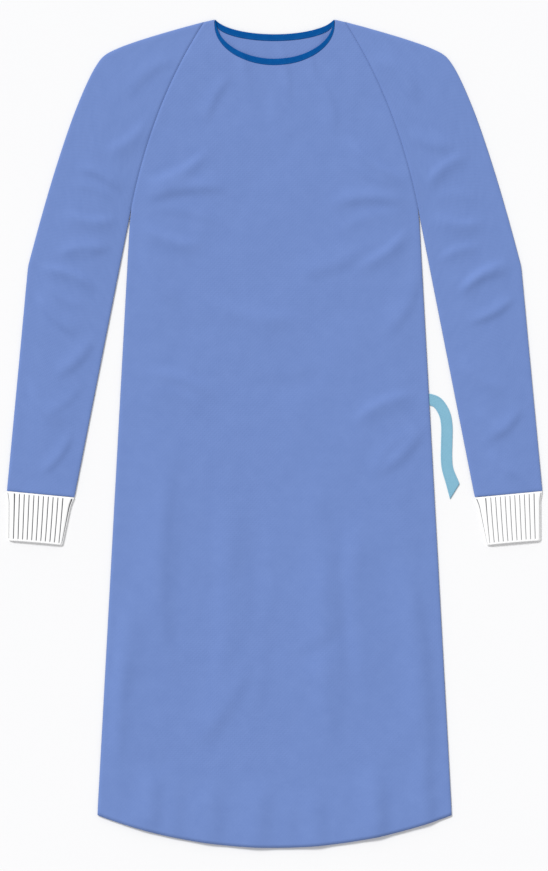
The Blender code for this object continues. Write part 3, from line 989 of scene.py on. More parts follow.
@dataclass
class Drape:
    """How the cloth lies: the heights of the upper and the lower side over the whole plan."""

    plan: Plan
    layers: Layers
    pillow: float = 1.4 * MM
    pillow_reach: float = 0.055
    # Broad unevenness of limp cloth: a sum of plane waves
    crumple_seed: int = 11
    crumple_waves: int = 26
    crumple_lengths: tuple[float, float] = (0.030, 0.130)
    crumple_height: float = 0.34 * MM
    under_phase: float = 2.0
    # The underside follows only those waves that rise past this height
    crumple_floor: float = 0.25 * MM
    # How far the turn of the cloth swells and shrinks along the outline, and its two wavelengths
    turn_swell: float = 0.3
    turn_lengths: tuple[float, float] = (217 * MM, 153 * MM)
    # The lift's soft knee at the front's level, and how steeply a seam's groove falls
    knee: float = 0.35 * MM
    groove_power: float = 1.5
    folds: list[Array] = field(init=False)
    seams: list[Array] = field(init=False)

    def __post_init__(self) -> None:
        """Draws the outline's folds, and the raglan and wrist seams, once."""
        self.folds = self.plan.folds()
        self.seams = [self.plan.raglan(), self.plan.wrist()]

    def crumple(self, places: Array, phase: float) -> Array:
        """Adds up seeded plane waves, height x length x sin(k . place + phase), of mean 0.

        Args:
            places: plan places with the wearer's side in their sign.
            phase: a shift that gives each side of the gown its own waves.

        Returns:
            The height at each place.
        """
        draw = np.random.default_rng(self.crumple_seed)
        length = draw.uniform(*self.crumple_lengths, self.crumple_waves)
        heading = draw.uniform(0, math.pi, self.crumple_waves)
        start = draw.uniform(0, 2 * math.pi, self.crumple_waves) + phase
        total = np.zeros(places.shape[:-1])
        for size, turn, shift in zip(length, heading, start):
            wave = (places @ np.array([math.cos(turn), math.sin(turn)])) * 2 * math.pi / size
            total += size / self.crumple_lengths[1] * np.sin(wave + shift)
        return total * self.crumple_height / math.sqrt(self.crumple_waves / 2)

    def nearest(self, places: Array, routes: list[Array]) -> Array:
        """Measures how far places lie from the nearest of some routes on either side.

        Args:
            places: plan places with the wearer's side in their sign.
            routes: routes on the wearer's left side, which the right side mirrors.

        Returns:
            The distances.
        """
        left = np.stack([np.abs(places[..., 0]), places[..., 1]], axis=-1)
        return np.min([distance_to(left, route) for route in routes], axis=0)

    def groove(self, places: Array) -> Array:
        """Gives the groove's share at each place: exp(-(seam distance / reach)^power)."""
        share = self.nearest(places, self.seams) / self.layers.groove_reach
        return np.exp(-(share**self.groove_power))

    def under_lift(self, places: Array) -> Array:
        """Adds up the underside's folds: how far the lowest cloth is off the surface."""
        total = sum(crease_height(places, crease) for crease in UNDER_CREASES)
        return total + np.maximum(self.crumple(places, self.under_phase) - self.crumple_floor, 0)

    def upper_lift(self, places: Array, reach: Array) -> Array:
        """Adds up the upper folds on a low pillow, and keeps the sum above 0 with a soft knee.

        Args:
            places: plan places.
            reach: their distances from the outline's folds.

        Returns:
            The lift above the front's level.
        """
        total = self.pillow * eased(reach / self.pillow_reach) + self.crumple(places, 0.0)
        total += sum(crease_height(places, crease) for crease in UPPER_CREASES)
        return self.knee * np.logaddexp(0, total / self.knee)

    def fold_level(self, places: Array) -> Array:
        """Gives the height at which the upper and the lower side would meet."""
        return self.layers.fold_level + self.under_lift(places) / 2

    def upper(self, places: Array) -> Array:
        """Works out the upper side's middle height.

        It is the front's level plus its lift and the underside's, less the groove along the
        raglan and wrist seams, turned down at the outline.

        Args:
            places: plan places with the wearer's side in their sign.

        Returns:
            The height of the middle of the cloth.
        """
        reach = self.nearest(places, self.folds)
        full = self.layers.front + self.layers.cloth / 2 + self.upper_lift(places, reach)
        full = full + self.under_lift(places) - self.layers.groove_depth * self.groove(places)
        return self.turned(places, full, reach)

    def lower(self, places: Array, lift: ArrayLike = 0.0) -> Array:
        """Works out the lower side's middle height, which the seams' grooves raise a little.

        Args:
            places: plan places with the wearer's side in their sign.
            lift: how much higher a lap lies on another.

        Returns:
            The height of the middle of the cloth.
        """
        full = self.layers.cloth / 2 + lift + self.under_lift(places)
        full = full + self.layers.under_groove * self.groove(places)
        return self.turned(places, full, self.nearest(places, self.folds))

    def turned(self, places: Array, full: Array, reach: Array) -> Array:
        """Turns a side of the cloth into the other one at the outline, by a quarter circle.

        Args:
            places: plan places with the wearer's side in their sign.
            full: the side's own height.
            reach: the places' distances from the outline's folds.

        Returns:
            fold + (full - fold) x the quarter circle, whose radius swells along the outline.
        """
        turn = 2 * math.pi / np.array(self.turn_lengths)
        swell = np.cos(places[..., 0] * turn[0]) * np.sin(places[..., 1] * turn[1])
        radius = self.layers.fold_reach * (1 + self.turn_swell * swell)
        fold = self.fold_level(places)
        return fold + (full - fold) * rounded(reach / radius)


def thickened(points: Array, half: ArrayLike, tube: bool) -> tuple[Array, Array]:
    """Moves a grid half the cloth's thickness along its normals, both ways.

    Args:
        points: the cloth's middle, rows x columns x 3.
        half: half of its thickness.
        tube: whether the columns close on themselves.

    Returns:
        The outside and the inside.
    """
    push = grid_normals(points, tube) * np.asarray(half)
    return points + push, points - push


def filled(top: Array, bottom: Array, near: Array, far: Array, down: Array, across: Array) -> Array:
    """Fills in a plan surface between four edges, as a Coons patch.

    A point is the mix of top and bottom, plus the mix of near and far, less the mix of the four
    corners.

    Args:
        top: the top edge's points, one for each column.
        bottom: the bottom edge's.
        near: the first side's points, one for each row.
        far: the last side's.
        down: the rows' shares of the way down.
        across: the columns' shares of the way across.

    Returns:
        rows x columns x 2.
    """
    v = np.broadcast_to(down[:, None], (len(down), len(across)))
    u = np.broadcast_to(across[None, :], v.shape)
    corners = lerp(lerp(top[0], top[-1], u), lerp(bottom[0], bottom[-1], u), v)
    return lerp(top[None], bottom[None], v) + lerp(near[:, None], far[:, None], u) - corners


# Places beside an end, in millimetres from it, where the rows or columns stand close
CLOSE_PLACES = (0.0, 0.25, 0.6, 1.0, 1.5, 2.1, 2.8, 3.7, 4.8, 6.0, 7.6)


def close_ends(count: int, length: float, first: bool = True, last: bool = True) -> Array:
    """Spaces shares evenly, with close ones beside an end, where the cloth turns or is sewn.

    Args:
        count: how many even steps there are between.
        length: the length that the shares cover, in metres.
        first: whether the start has close steps.
        last: whether the end has.

    Returns:
        The shares, from 0 to 1.
    """
    close = np.array(CLOSE_PLACES) * MM / length
    start = close if first else np.zeros(1)
    end = 1 - close[::-1] if last else np.ones(1)
    between = np.linspace(start[-1], end[0], count + 1)[1:-1]
    return np.concatenate([start, between, end])


# ------------------------------------------------------------------------------ pieces


@dataclass
class Cloths:
    """The gown's finished materials, which its pieces share."""

    outside: bpy.types.Material
    inside: bpy.types.Material
    knit: bpy.types.Material
    tape: bpy.types.Material
    tie: bpy.types.Material
    seam_thread: bpy.types.Material
    tape_thread: bpy.types.Material
    tie_thread: bpy.types.Material

    @classmethod
    def make(cls) -> "Cloths":
        """Makes each cloth and thread from its own finish.

        Returns:
            The materials.
        """
        return cls(
            outside=SpunbondNonwoven("sms_outside", "6F89C4", "6983BE").make(),
            inside=SpunbondNonwoven("sms_inside", "6F89C4", "6983BE").make(),
            # The knit's dark tone is painted shade for the furrows between its ribs
            knit=RibKnit("polyester_rib_knit", "FBFBFB", "2A2C31").make(),
            tape=WovenTape("binding_tape", "0659A0", "004C92").make(),
            tie=SpunbondNonwoven("folded_sms_tie", "84B7CE", "7BAFC6").make(),
            seam_thread=SpunThread("thread_grey_blue", "6C7FA8").make(),
            tape_thread=SpunThread("thread_dark_blue", "1D63A8").make(),
            tie_thread=SpunThread("thread_pale_blue", "7FAAC6").make(),
        )


@dataclass
class Stitching:
    """Rows of thread stitches: each is a small capsule, bent down into the cloth at its ends."""

    pitch: float = 3.2 * MM
    length: float = 2.5 * MM
    radius: float = 0.24 * MM
    dip: float = 0.28 * MM
    # How far the thread's middle stands above the cloth
    proud: float = 0.12 * MM
    # A stitch's steps from end to end, and its girth there as shares of the radius
    girths: tuple[float, ...] = (0.5, 0.92, 1.0, 0.92, 0.5)
    sides: int = 6

    def row(self, route: Array) -> MeshData:
        """Lays stitches along a route, each a ring of points at each of its steps.

        A stitch's middle line is straight, less dip x (2 step)²; a ring is radius x girth x
        (cos turn x aside + sin turn x up).

        Args:
            route: the row's points in the frame.

        Returns:
            Every stitch of the row.
        """
        length = lengths_along(route)[-1]
        count = max(int(length / self.pitch), 1)
        middle = (np.arange(count) + 0.5) * length / count
        steps = np.linspace(-0.5, 0.5, len(self.girths))
        line = route_at(route, (middle[:, None] + steps * self.length) / length)
        heading = unit(line[:, -1:] - line[:, :1])
        up = unit(np.array([0.0, 0.0, 1.0]) - heading * heading[..., 2:])
        aside = np.cross(heading, up)
        line = line - up * (self.dip * (2 * steps) ** 2)[None, :, None]
        girth = self.radius * np.array(self.girths)
        turn = 2 * math.pi * np.arange(self.sides) / self.sides
        ring = (
            aside[:, :, None] * np.cos(turn)[None, None, :, None]
            + up[:, :, None] * np.sin(turn)[None, None, :, None]
        )
        points = line[:, :, None] + ring * girth[None, :, None, None]
        return self.joined(points)

    def joined(self, points: Array) -> MeshData:
        """Joins up stitches, each a tube of six sides with two quads at either end.

        Args:
            points: stitches x steps x sides x 3.

        Returns:
            Every stitch, with its place along and across the cloth as UVs.
        """
        count, steps, sides = points.shape[:3]
        corner = np.arange(steps * sides).reshape(steps, sides)
        corner = np.hstack([corner, corner[:, :1]])
        body = grid_quads(corner)[:, ::-1]
        first, last = corner[0, :-1], corner[-1, :-1]
        caps = [first[[0, 1, 2, 3]], first[[0, 3, 4, 5]], last[[3, 2, 1, 0]], last[[5, 4, 3, 0]]]
        one = np.vstack([body, *caps])
        quads = (one[None] + (np.arange(count) * steps * sides)[:, None, None]).reshape(-1, 4)
        flat = points.reshape(-1, 3)
        place = np.stack([flat[:, 0] + flat[:, 1], flat[:, 2]], axis=1)
        return MeshData(flat, quads, np.zeros(len(quads), np.int64), place[quads])

    def sew(
        self, name: str, rows: list[Array], thread: bpy.types.Material, slot: str
    ) -> bpy.types.Object:
        """Makes one piece of some rows of stitches.

        Args:
            name: the piece's name.
            rows: the routes of its rows.
            thread: its material.
            slot: the finish slot that it goes with.

        Returns:
            The piece.
        """
        made = [self.row(route) for route in rows]
        starts = np.cumsum([0] + [len(m.points) for m in made[:-1]])
        data = MeshData(
            np.vstack([m.points for m in made]),
            np.vstack([m.quads + start for m, start in zip(made, starts)]),
            np.concatenate([m.finish for m in made]),
            np.vstack([m.uv for m in made]),
        )
        piece = make_piece(name, data, [thread])
        declare(piece, slot)
        return piece


@dataclass
class Body:
    """The gown's body: the front in one piece, and two back panels that lap over each other."""

    drape: Drape
    cloths: Cloths
    front_rows: int = 215
    front_columns: int = 140
    back_rows: int = 170
    back_columns: int = 92
    front_neck_points: int = 90
    back_neck_points: int = 60
    # Typical sizes of the panels, to space their close rows and columns by
    front_width: float = 0.42
    back_width: float = 0.35
    side_length: float = 1.25
    outer_lap: tuple[float, float] = (0.0640, 0.1300)
    inner_lap: tuple[float, float] = (0.0860, 0.1300)
    # Lines at which the inner lap comes down beyond the outer one, at the neck and at the hem
    step_high: tuple[float, float] = (0.0680, 0.1800)
    step_low: tuple[float, float] = (0.0820, 0.1940)
    neck_point_hem: float = 0.2040
    back_neck_end: float = 0.0880
    # The cut cloth's areas, in square metres
    outer_area: float = 0.4225
    inner_area: float = 0.4367
    front_area: float = 0.5927

    @property
    def plan(self) -> Plan:
        """The flat gown's plan."""
        return self.drape.plan

    def panel(self, node: str, places: Array, level: Array) -> bpy.types.Object:
        """Args:
            node: the CAD node that it stands for.
            places: its plan places, which are also its flat cloth.
            level: the height of the middle of its cloth at each.

        Returns:
            The piece.
        """
        grids = thickened(self.plan.place(places, level), self.drape.layers.cloth / 2, False)
        data = shell_data(*grids, places * (1, -1), False)
        piece = make_piece(f"{node}_cloth", data, [self.cloths.outside, self.cloths.inside])
        declare(piece, "gown_cloth", node)
        return piece

    def front(self) -> bpy.types.Object:
        """Makes the front: a Coons patch between neck, sides and hem, at the upper height.

        Returns:
            The piece.
        """
        plan, gap = self.plan, self.plan.seam_gap / 2
        seam = plan.front_seam
        neck = replace(seam, half_width=seam.half_width + gap, depth=seam.depth + gap)
        side = plan.side_outline()
        angles = np.linspace(0, math.pi / 2, self.front_neck_points)
        half = np.vstack([side[0], plan.neck_point, neck.at_angle(angles)])
        top = np.vstack([half, half[-2::-1] * (-1, 1)])
        across = close_ends(self.front_columns, self.front_width)
        down = close_ends(self.front_rows, self.side_length, last=False)
        hem = plan.hem(plan.hem_half * (1 - 2 * across))
        near = route_at(side, down)
        places = filled(route_at(top, across), hem, near, near * (-1, 1), down, across)
        return self.panel("front_panel", places, self.drape.upper(places))

    def step_lift(self, places: Array) -> Array:
        """Gives the inner lap's lift: full over the outer lap, eased down between two lines.

        Args:
            places: plan places with the wearer's side in their sign.

        Returns:
            The lift at each place.
        """
        low_drop, length = self.plan.back_seam.centre, self.plan.length
        share = np.clip((places[..., 1] - low_drop) / (length - low_drop), 0, 1)
        high = self.step_high[0] + (self.step_high[1] - self.step_high[0]) * share
        low = self.step_low[0] + (self.step_low[1] - self.step_low[0]) * share
        return self.drape.layers.inner_lap * (1 - eased((places[..., 0] - high) / (low - high)))

    def back(self, side: Side, lap: tuple[float, float], over: bool) -> bpy.types.Object:
        """Makes a back panel: a Coons patch between its free edge, neck, side and hem.

        Args:
            side: the wearer's side that it belongs to.
            lap: how far it reaches past the centre line, at the neck and at the hem.
            over: whether it lies on the other back panel.

        Returns:
            The piece.
        """
        plan = self.plan
        outline = plan.side_outline()
        out = np.linspace(-lap[0], self.back_neck_end, self.back_neck_points)
        neck = np.vstack([plan.back_seam.at_out(out), plan.corner]) + (0.0, plan.seam_gap)
        top = np.vstack([neck, plan.neck_point, outline[0]])
        across = close_ends(self.back_columns, self.back_width, first=False)
        down = close_ends(self.back_rows, self.side_length, last=False)
        knots = (-lap[0], self.step_low[0], plan.neck_point[0], plan.raglan_top[0])
        hems = (-lap[1], self.step_low[1], self.neck_point_hem, plan.hem_half)
        start = route_at(top, across)
        hem = plan.hem(np.interp(start[:, 0], knots, hems))
        free = lerp(top[0], hem[0], down)
        places = filled(start, hem, free, route_at(outline, down), down, across)
        places = places * (side.value, 1)
        lift = self.step_lift(places) if over else 0.0
        level = self.drape.lower(places, lift)
        if side is Side.RIGHT:
            places, level = places[:, ::-1], level[:, ::-1]
        return self.panel(f"back_panel_{side.name.lower()}", places, level)

    def build(self) -> None:
        """Makes the three panels."""
        half, length = self.plan.hem_half, self.plan.length
        outer = self.back(Side.RIGHT, self.outer_lap, False)
        inner = self.back(Side.LEFT, self.inner_lap, True)
        sheets = (
            (outer, half + self.outer_lap[1], "floor", self.outer_area),
            (inner, half + self.inner_lap[1], outer, self.inner_area),
            (self.front(), 2 * half, inner, self.front_area),
        )


@dataclass
class Sleeve:
    """A raglan sleeve, a flattened tube from its seam with the body to the wrist."""

    drape: Drape
    cloths: Cloths
    side: Side
    rings: int = 170
    columns: int = 44
    # Typical sizes of the tube, to space its close rings and columns by
    tube_width: float = 0.13
    tube_length: float = 0.87
    flat: tuple[float, float] = (0.305, 0.875)
    area: float = 0.1856

    def places(self, down: Array, across: Array) -> Array:
        """Fills in the sleeve's plan between raglan seam, wrist, top fold and underarm edge.

        Args:
            down: the rings' shares of the way to the wrist.
            across: the columns' shares of the way to the underarm edge.

        Returns:
            Plan places of the wearer's left sleeve, rings x columns x 2.
        """
        plan = self.drape.plan
        raglan = plan.beside_raglan(-plan.seam_gap / 2)
        top_edge = plan.sleeve_top_edge()
        top_edge[0] = raglan[0]
        near = route_at(top_edge, down)
        far = lerp(raglan[-1], plan.wrist_inner, down**plan.underarm_ease)
        wrist = route_at(plan.wrist(), across)
        return filled(route_at(raglan, across), wrist, near, far, down, across)

    def build(self) -> None:
        """Makes the sleeve: its upper side from fold to fold, and its lower side back."""
        across = close_ends(self.columns, self.tube_width)
        down = close_ends(self.rings, self.tube_length)
        places = self.places(down, across) * (self.side.value, 1)
        upper = self.drape.plan.place(places, self.drape.upper(places))
        lower = self.drape.plan.place(places, self.drape.lower(places))
        ring = np.concatenate([upper, lower[:, -2:0:-1]], axis=1)
        width = np.linalg.norm(places[:, -1] - places[:, 0], axis=1)[:, None]
        round_share = np.concatenate([across, 2 - across[-2::-1]])
        along = np.broadcast_to(down[:, None] * self.flat[1], (len(down), len(round_share)))
        uv = np.stack([width * round_share, -along], axis=-1)
        if self.side is Side.RIGHT:
            ring, uv = ring[:, ::-1], uv[:, ::-1]
        grids = thickened(ring, self.drape.layers.cloth / 2, True)
        data = shell_data(*grids, uv, True)
        node = f"sleeve_{self.side.name.lower()}"
        piece = make_piece(f"{node}_cloth", data, [self.cloths.outside, self.cloths.inside])
        declare(piece, "gown_cloth", node)


@dataclass
class Cuff:
    """A rib-knit cuff, a tube that is drawn in below the wrist seam."""

    drape: Drape
    cloths: Cloths
    side: Side
    outer_top: tuple[float, float] = (0.4172, 0.7403)
    outer_end: tuple[float, float] = (0.4176, 0.8180)
    inner_top: tuple[float, float] = (0.3176, 0.7498)
    inner_end: tuple[float, float] = (0.3337, 0.8253)
    flare: float = 2.6 * MM
    # The second furrow and the last but one, as shares of the cuff's width, at the seam and at
    # the open end: straight furrows lie evenly between them, and one runs beside each edge
    first_furrow: tuple[float, float] = (0.102, 0.100)
    last_furrow: tuple[float, float] = (0.860, 0.948)
    edge_furrow: float = 0.8 * MM
    edge_part: float = 0.25
    # Shares of the way to the open end, and of the flare there
    flares: tuple[tuple[float, float], ...] = (
        (0.00, 1.0), (0.07, 0.6), (0.14, 0.2), (0.22, 0.0), (0.60, 0.0), (0.96, 0.0),
        (0.99, -0.35), (1.00, -1.0),
    )
    wall: float = 1.1 * MM
    height: float = 4.2 * MM
    fold_reach: float = 5.0 * MM
    # How much the upper side bulges, and from which share of the way on
    puff: float = 1.1 * MM
    puff_from: float = 0.12
    puff_power: float = 0.6
    # The seam draws the tube in: by which share of its height, and over what length
    seam_pull: float = 0.5
    seam_reach: float = 1.8 * MM
    seam_power: float = 1.5
    under_pull: float = 0.6
    ribs: int = 12
    rib_relief: float = 0.65 * MM
    rib_power: float = 2.2
    # The ribs' relief at either end, and the shares of the way over which it grows
    rib_least: float = 0.2
    rib_fades: tuple[float, float] = (0.05, 0.06)
    # A rib's points, as shares of it, closest together beside its furrows
    rib_points: tuple[float, ...] = (0.0, 0.05, 0.12, 0.24, 0.38, 0.5, 0.62, 0.76, 0.88, 0.95)
    edge_points: tuple[float, ...] = (1.0, 0.75, 0.5, 0.2)
    rows: int = 44
    # The upper lip ends short of the lower one by up to this, over the last part of the way
    mouth_step: float = 1.3 * MM
    lip_from: float = 0.9
    lip_power: float = 0.3
    # The wall's thickness in the last rows, where the knit's finished edge is rounded
    edge_taper: tuple[float, ...] = (0.95, 0.85, 0.68, 0.4)
    flat: tuple[float, float] = (0.205, 0.084)
    area: float = 0.0142

    def rib(self, phase: Array) -> Array:
        """Gives a rib's profile, sqrt(1 - |2 f - 1|^power) - 1 with f the part of the phase."""
        return np.sqrt(np.maximum(1 - np.abs(2 * (phase % 1.0) - 1) ** self.rib_power, 0)) - 1

    def places(self, down: Array, phase: Array) -> Array:
        """Draws the cuff's plan: straight ribs, and a flare that only the two edge ribs take up.

        Args:
            down: the rows' shares of the way to the open end.
            phase: the columns' places, counted in ribs from the first furrow.

        Returns:
            The wearer's left cuff's places, rows x columns x 2.
        """
        table = np.array(self.flares)
        spread = np.interp(down, table[:, 0], table[:, 1])[:, None] * self.flare
        gap = np.array([0.0, self.drape.plan.seam_gap])
        start = lerp(self.outer_top, self.outer_end, down) + gap
        end = lerp(self.inner_top, self.inner_end, down) + gap
        first, last = (
            lerp(start, end, knot[0] + (knot[1] - knot[0]) * down)[:, None]
            for knot in (self.first_furrow, self.last_furrow)
        )
        aside = unit(start - end)
        outer, inner = start + aside * spread, end - aside * spread
        near, far = outer[:, None], inner[:, None]
        near_furrow = near - aside[:, None] * self.edge_furrow
        far_furrow = far + aside[:, None] * self.edge_furrow
        turn = np.broadcast_to(phase, (len(down), len(phase)))
        knots = [-self.edge_part, 0, 1, self.ribs - 1, self.ribs, self.ribs + self.edge_part]
        lines = [near, near_furrow, first, last, far_furrow, far]
        places = np.zeros((*turn.shape, 2))
        for k in range(len(lines) - 1):
            part = (turn - knots[k]) / (knots[k + 1] - knots[k])
            within = ((part >= 0) & (part <= 1))[..., None]
            places = np.where(within, lerp(lines[k], lines[k + 1], part), places)
        return places

    def tube(self, places: Array, down: Array) -> Array:
        """Raises the plan into a smooth flat tube, drawn in at its seam.

        The upper side is middle + (half x seam + bulge) x rise, and the lower side is middle -
        half x rise x the seam's smaller pull, with rise a quarter circle from either edge.

        Args:
            places: the wearer's left cuff's plan places, rows x columns x 2.
            down: the rows' shares of the way to the open end.

        Returns:
            The tube's middle: the upper side's columns, and then the lower side's back.
        """
        near = np.linalg.norm(places - places[:, :1], axis=-1)
        rise = rounded(np.minimum(near, near[:, -1:] - near) / self.fold_reach)
        arch = np.sin(math.pi * (near / near[:, -1:]))
        from_seam = down[:, None] * CUFF_REACH / self.seam_reach
        seam = 1 - self.seam_pull * np.exp(-(from_seam**self.seam_power))
        bulge = self.puff * arch**self.puff_power * eased(down[:, None] / self.puff_from)
        lip = eased((down[:, None] - self.lip_from) / (1 - self.lip_from)) * arch
        middle = self.height / 2
        half = middle - self.wall / 2
        signed = places * (self.side.value, 1)
        shorter = signed - (0.0, self.mouth_step) * lip[..., None] ** self.lip_power
        under = 1 - self.under_pull + self.under_pull * seam
        upper = self.drape.plan.place(shorter, middle + (half * seam + bulge) * rise)
        lower = self.drape.plan.place(signed, middle - half * rise * under)
        return np.concatenate([upper, lower[:, -2:0:-1]], axis=1)

    def build(self) -> None:
        """Makes the cuff: a smooth flat tube, whose ribs are pushed along its normals."""
        edge = self.edge_part * np.array(self.edge_points)
        ribs = (np.arange(self.ribs)[:, None] + np.array(self.rib_points)).ravel()
        phase = np.concatenate([-edge, ribs, [self.ribs], self.ribs + edge[::-1]])
        turns = np.concatenate([phase, 2 * (self.ribs + self.edge_part) - phase[-2::-1]])
        down = close_ends(self.rows, CUFF_REACH)
        ring = self.tube(self.places(down, phase), down)
        # The ribs flatten out towards the seam and the finished edge
        from_ends = (down / self.rib_fades[0], (1 - down) / self.rib_fades[1])
        ends = np.prod([eased(self.rib_least + share) for share in from_ends], axis=0)
        push = self.rib_relief * self.rib(turns[:-1])[None] * ends[:, None]
        along = np.broadcast_to(-down[:, None] * CUFF_REACH, (len(down), len(turns)))
        uv = np.stack([np.broadcast_to(turns * RIB_PITCH, along.shape), along], axis=-1)
        if self.side is Side.RIGHT:
            ring, push, uv = ring[:, ::-1], push[:, ::-1], uv[:, ::-1]
        ring = ring + grid_normals(ring, True) * push[..., None]
        taper = np.ones((len(down), 1, 1))
        taper[-len(self.edge_taper) :, 0, 0] = self.edge_taper
        data = shell_data(*thickened(ring, taper * self.wall / 2, True), uv, True)
        node = f"cuff_{self.side.name.lower()}"
        piece = make_piece(f"{node}_knit", data, [self.cloths.knit, self.cloths.knit])
        declare(piece, "cuff_knit", node)


# Columns beside a strip's edge, in half thicknesses: the second is also its thinnest half
STRIP_EDGE = (0.0, 0.12, 0.4, 0.8, 1.2)


def strip_data(near: Array, far: Array, up: Array, half: float, columns: int) -> MeshData:
    """Makes a folded strip between two edges: its half thickness is a quarter circle of the edge.

    Args:
        near: one long edge's points in the frame, at the middle of the thickness.
        far: the other's.
        up: the strip's unit normals.
        half: half of its thickness.
        columns: how many columns there are between its rounded edges.

    Returns:
        The strip, closed all round.
    """
    width = np.linalg.norm(far - near, axis=1)
    edge = np.array(STRIP_EDGE) * half / width.mean()
    between = np.linspace(edge[-1], 1 - edge[-1], columns + 1)[1:-1]
    across = np.concatenate([edge, between, 1 - edge[::-1]])
    reach = np.minimum(across, 1 - across) * width.mean()
    thick = half * np.maximum(rounded(reach / half), STRIP_EDGE[1])
    share = np.broadcast_to(across, (len(near), len(across)))
    middle = lerp(near[:, None], far[:, None], share)
    push = up[:, None] * thick[None, :, None]
    along = np.broadcast_to(lengths_along((near + far) / 2)[:, None], share.shape)
    uv = np.stack([width[:, None] * share, along], axis=-1)
    return shell_data(middle + push, middle - push, uv, False)


@dataclass
class NeckBinding:
    """The folded tape round the neck, from the outer lap's end to the inner lap's end."""

    drape: Drape
    cloths: Cloths
    body: Body
    thickness: float = 1.15 * MM
    corner_turn_out: float = 0.0926
    corner_from: float = 0.15
    front_start: float = math.radians(5)
    back_steps: int = 70
    front_steps: int = 150
    corner_steps: int = 8
    columns: int = 8
    # The stitches' distance from the seam, as a share of the tape's width
    stitch_inset: float = 0.17
    flat: tuple[float, float] = (0.0105, 0.60)
    area: float = 0.0055

    def back(self, side: Side, lap: float, over: bool) -> tuple[Array, Array]:
        """Draws the tape along one back panel, from its lap to the neck point.

        Args:
            side: the wearer's side.
            lap: how far the panel reaches past the centre line.
            over: whether it lies on the other back panel.

        Returns:
            The seam's points and the edge's.
        """
        plan = self.drape.plan
        out = np.linspace(-lap, self.body.back_neck_end, self.back_steps)
        rows = []
        for arc in (plan.back_seam, plan.back_edge):
            places = arc.at_out(out) * (side.value, 1)
            lift = self.body.step_lift(places) if over else 0.0
            level = self.thickness / 2 + lift + self.drape.under_lift(places)
            rows.append(plan.place(places, level))
        return rows[0], rows[1]

    def corner(self, side: Side) -> tuple[Array, Array]:
        """Draws the quarter turn round a neck point, a circle seen from the shoulder.

        Args:
            side: the wearer's side.

        Returns:
            The seam's points and the edge's, from the back up to the front.
        """
        radius = self.drape.layers.fold_level - self.thickness / 2
        turn = np.linspace(self.corner_from, 1, self.corner_steps) * math.pi / 2
        out = (self.corner_turn_out + radius * np.sin(turn)) * side.value
        level = self.drape.layers.fold_level - radius * np.cos(turn)
        rows = []
        for drop in (self.drape.plan.corner[1], 0.0):
            rows.append(self.drape.plan.place(np.stack([out, np.full_like(out, drop)], 1), level))
        return rows[0], rows[1]

    def front(self) -> tuple[Array, Array]:
        """Draws the tape along the front neck, from the wearer's right to the left.

        Returns:
            The seam's points and the edge's.
        """
        plan = self.drape.plan
        angles = np.linspace(math.pi - self.front_start, self.front_start, self.front_steps)
        rows = []
        for arc in (plan.front_seam, plan.front_edge):
            places = arc.at_angle(angles)
            seam = plan.front_seam.at_angle(angles)
            level = self.drape.upper(seam) + (self.thickness - self.drape.layers.cloth) / 2
            rows.append(plan.place(places, level))
        return rows[0], rows[1]

    def build(self) -> None:
        """Makes the tape and its row of stitches along the seam."""
        parts = [
            self.back(Side.RIGHT, self.body.outer_lap[0], False),
            self.corner(Side.RIGHT),
            self.front(),
            tuple(rows[::-1] for rows in self.corner(Side.LEFT)),
            tuple(rows[::-1] for rows in self.back(Side.LEFT, self.body.inner_lap[0], True)),
        ]
        seam, edge = (np.vstack([part[k] for part in parts]) for k in (0, 1))
        heading = np.gradient((seam + edge) / 2, axis=0)
        up = unit(np.cross(edge - seam, heading))
        data = strip_data(seam, edge, up, self.thickness / 2, self.columns)
        piece = make_piece("neck_binding_tape", data, [self.cloths.tape, self.cloths.tape])
        declare(piece, "binding_tape", "neck_binding")
        stitching = Stitching()
        rise = (0, 0, self.thickness / 2 + stitching.proud)
        rows = [
            lerp(*parts[k], np.full(len(parts[k][0]), self.stitch_inset)) + rise for k in (2, 0, 4)
        ]
        thread = self.cloths.tape_thread
        sewn = stitching.sew("neck_binding_stitches", rows, thread, "binding_tape")


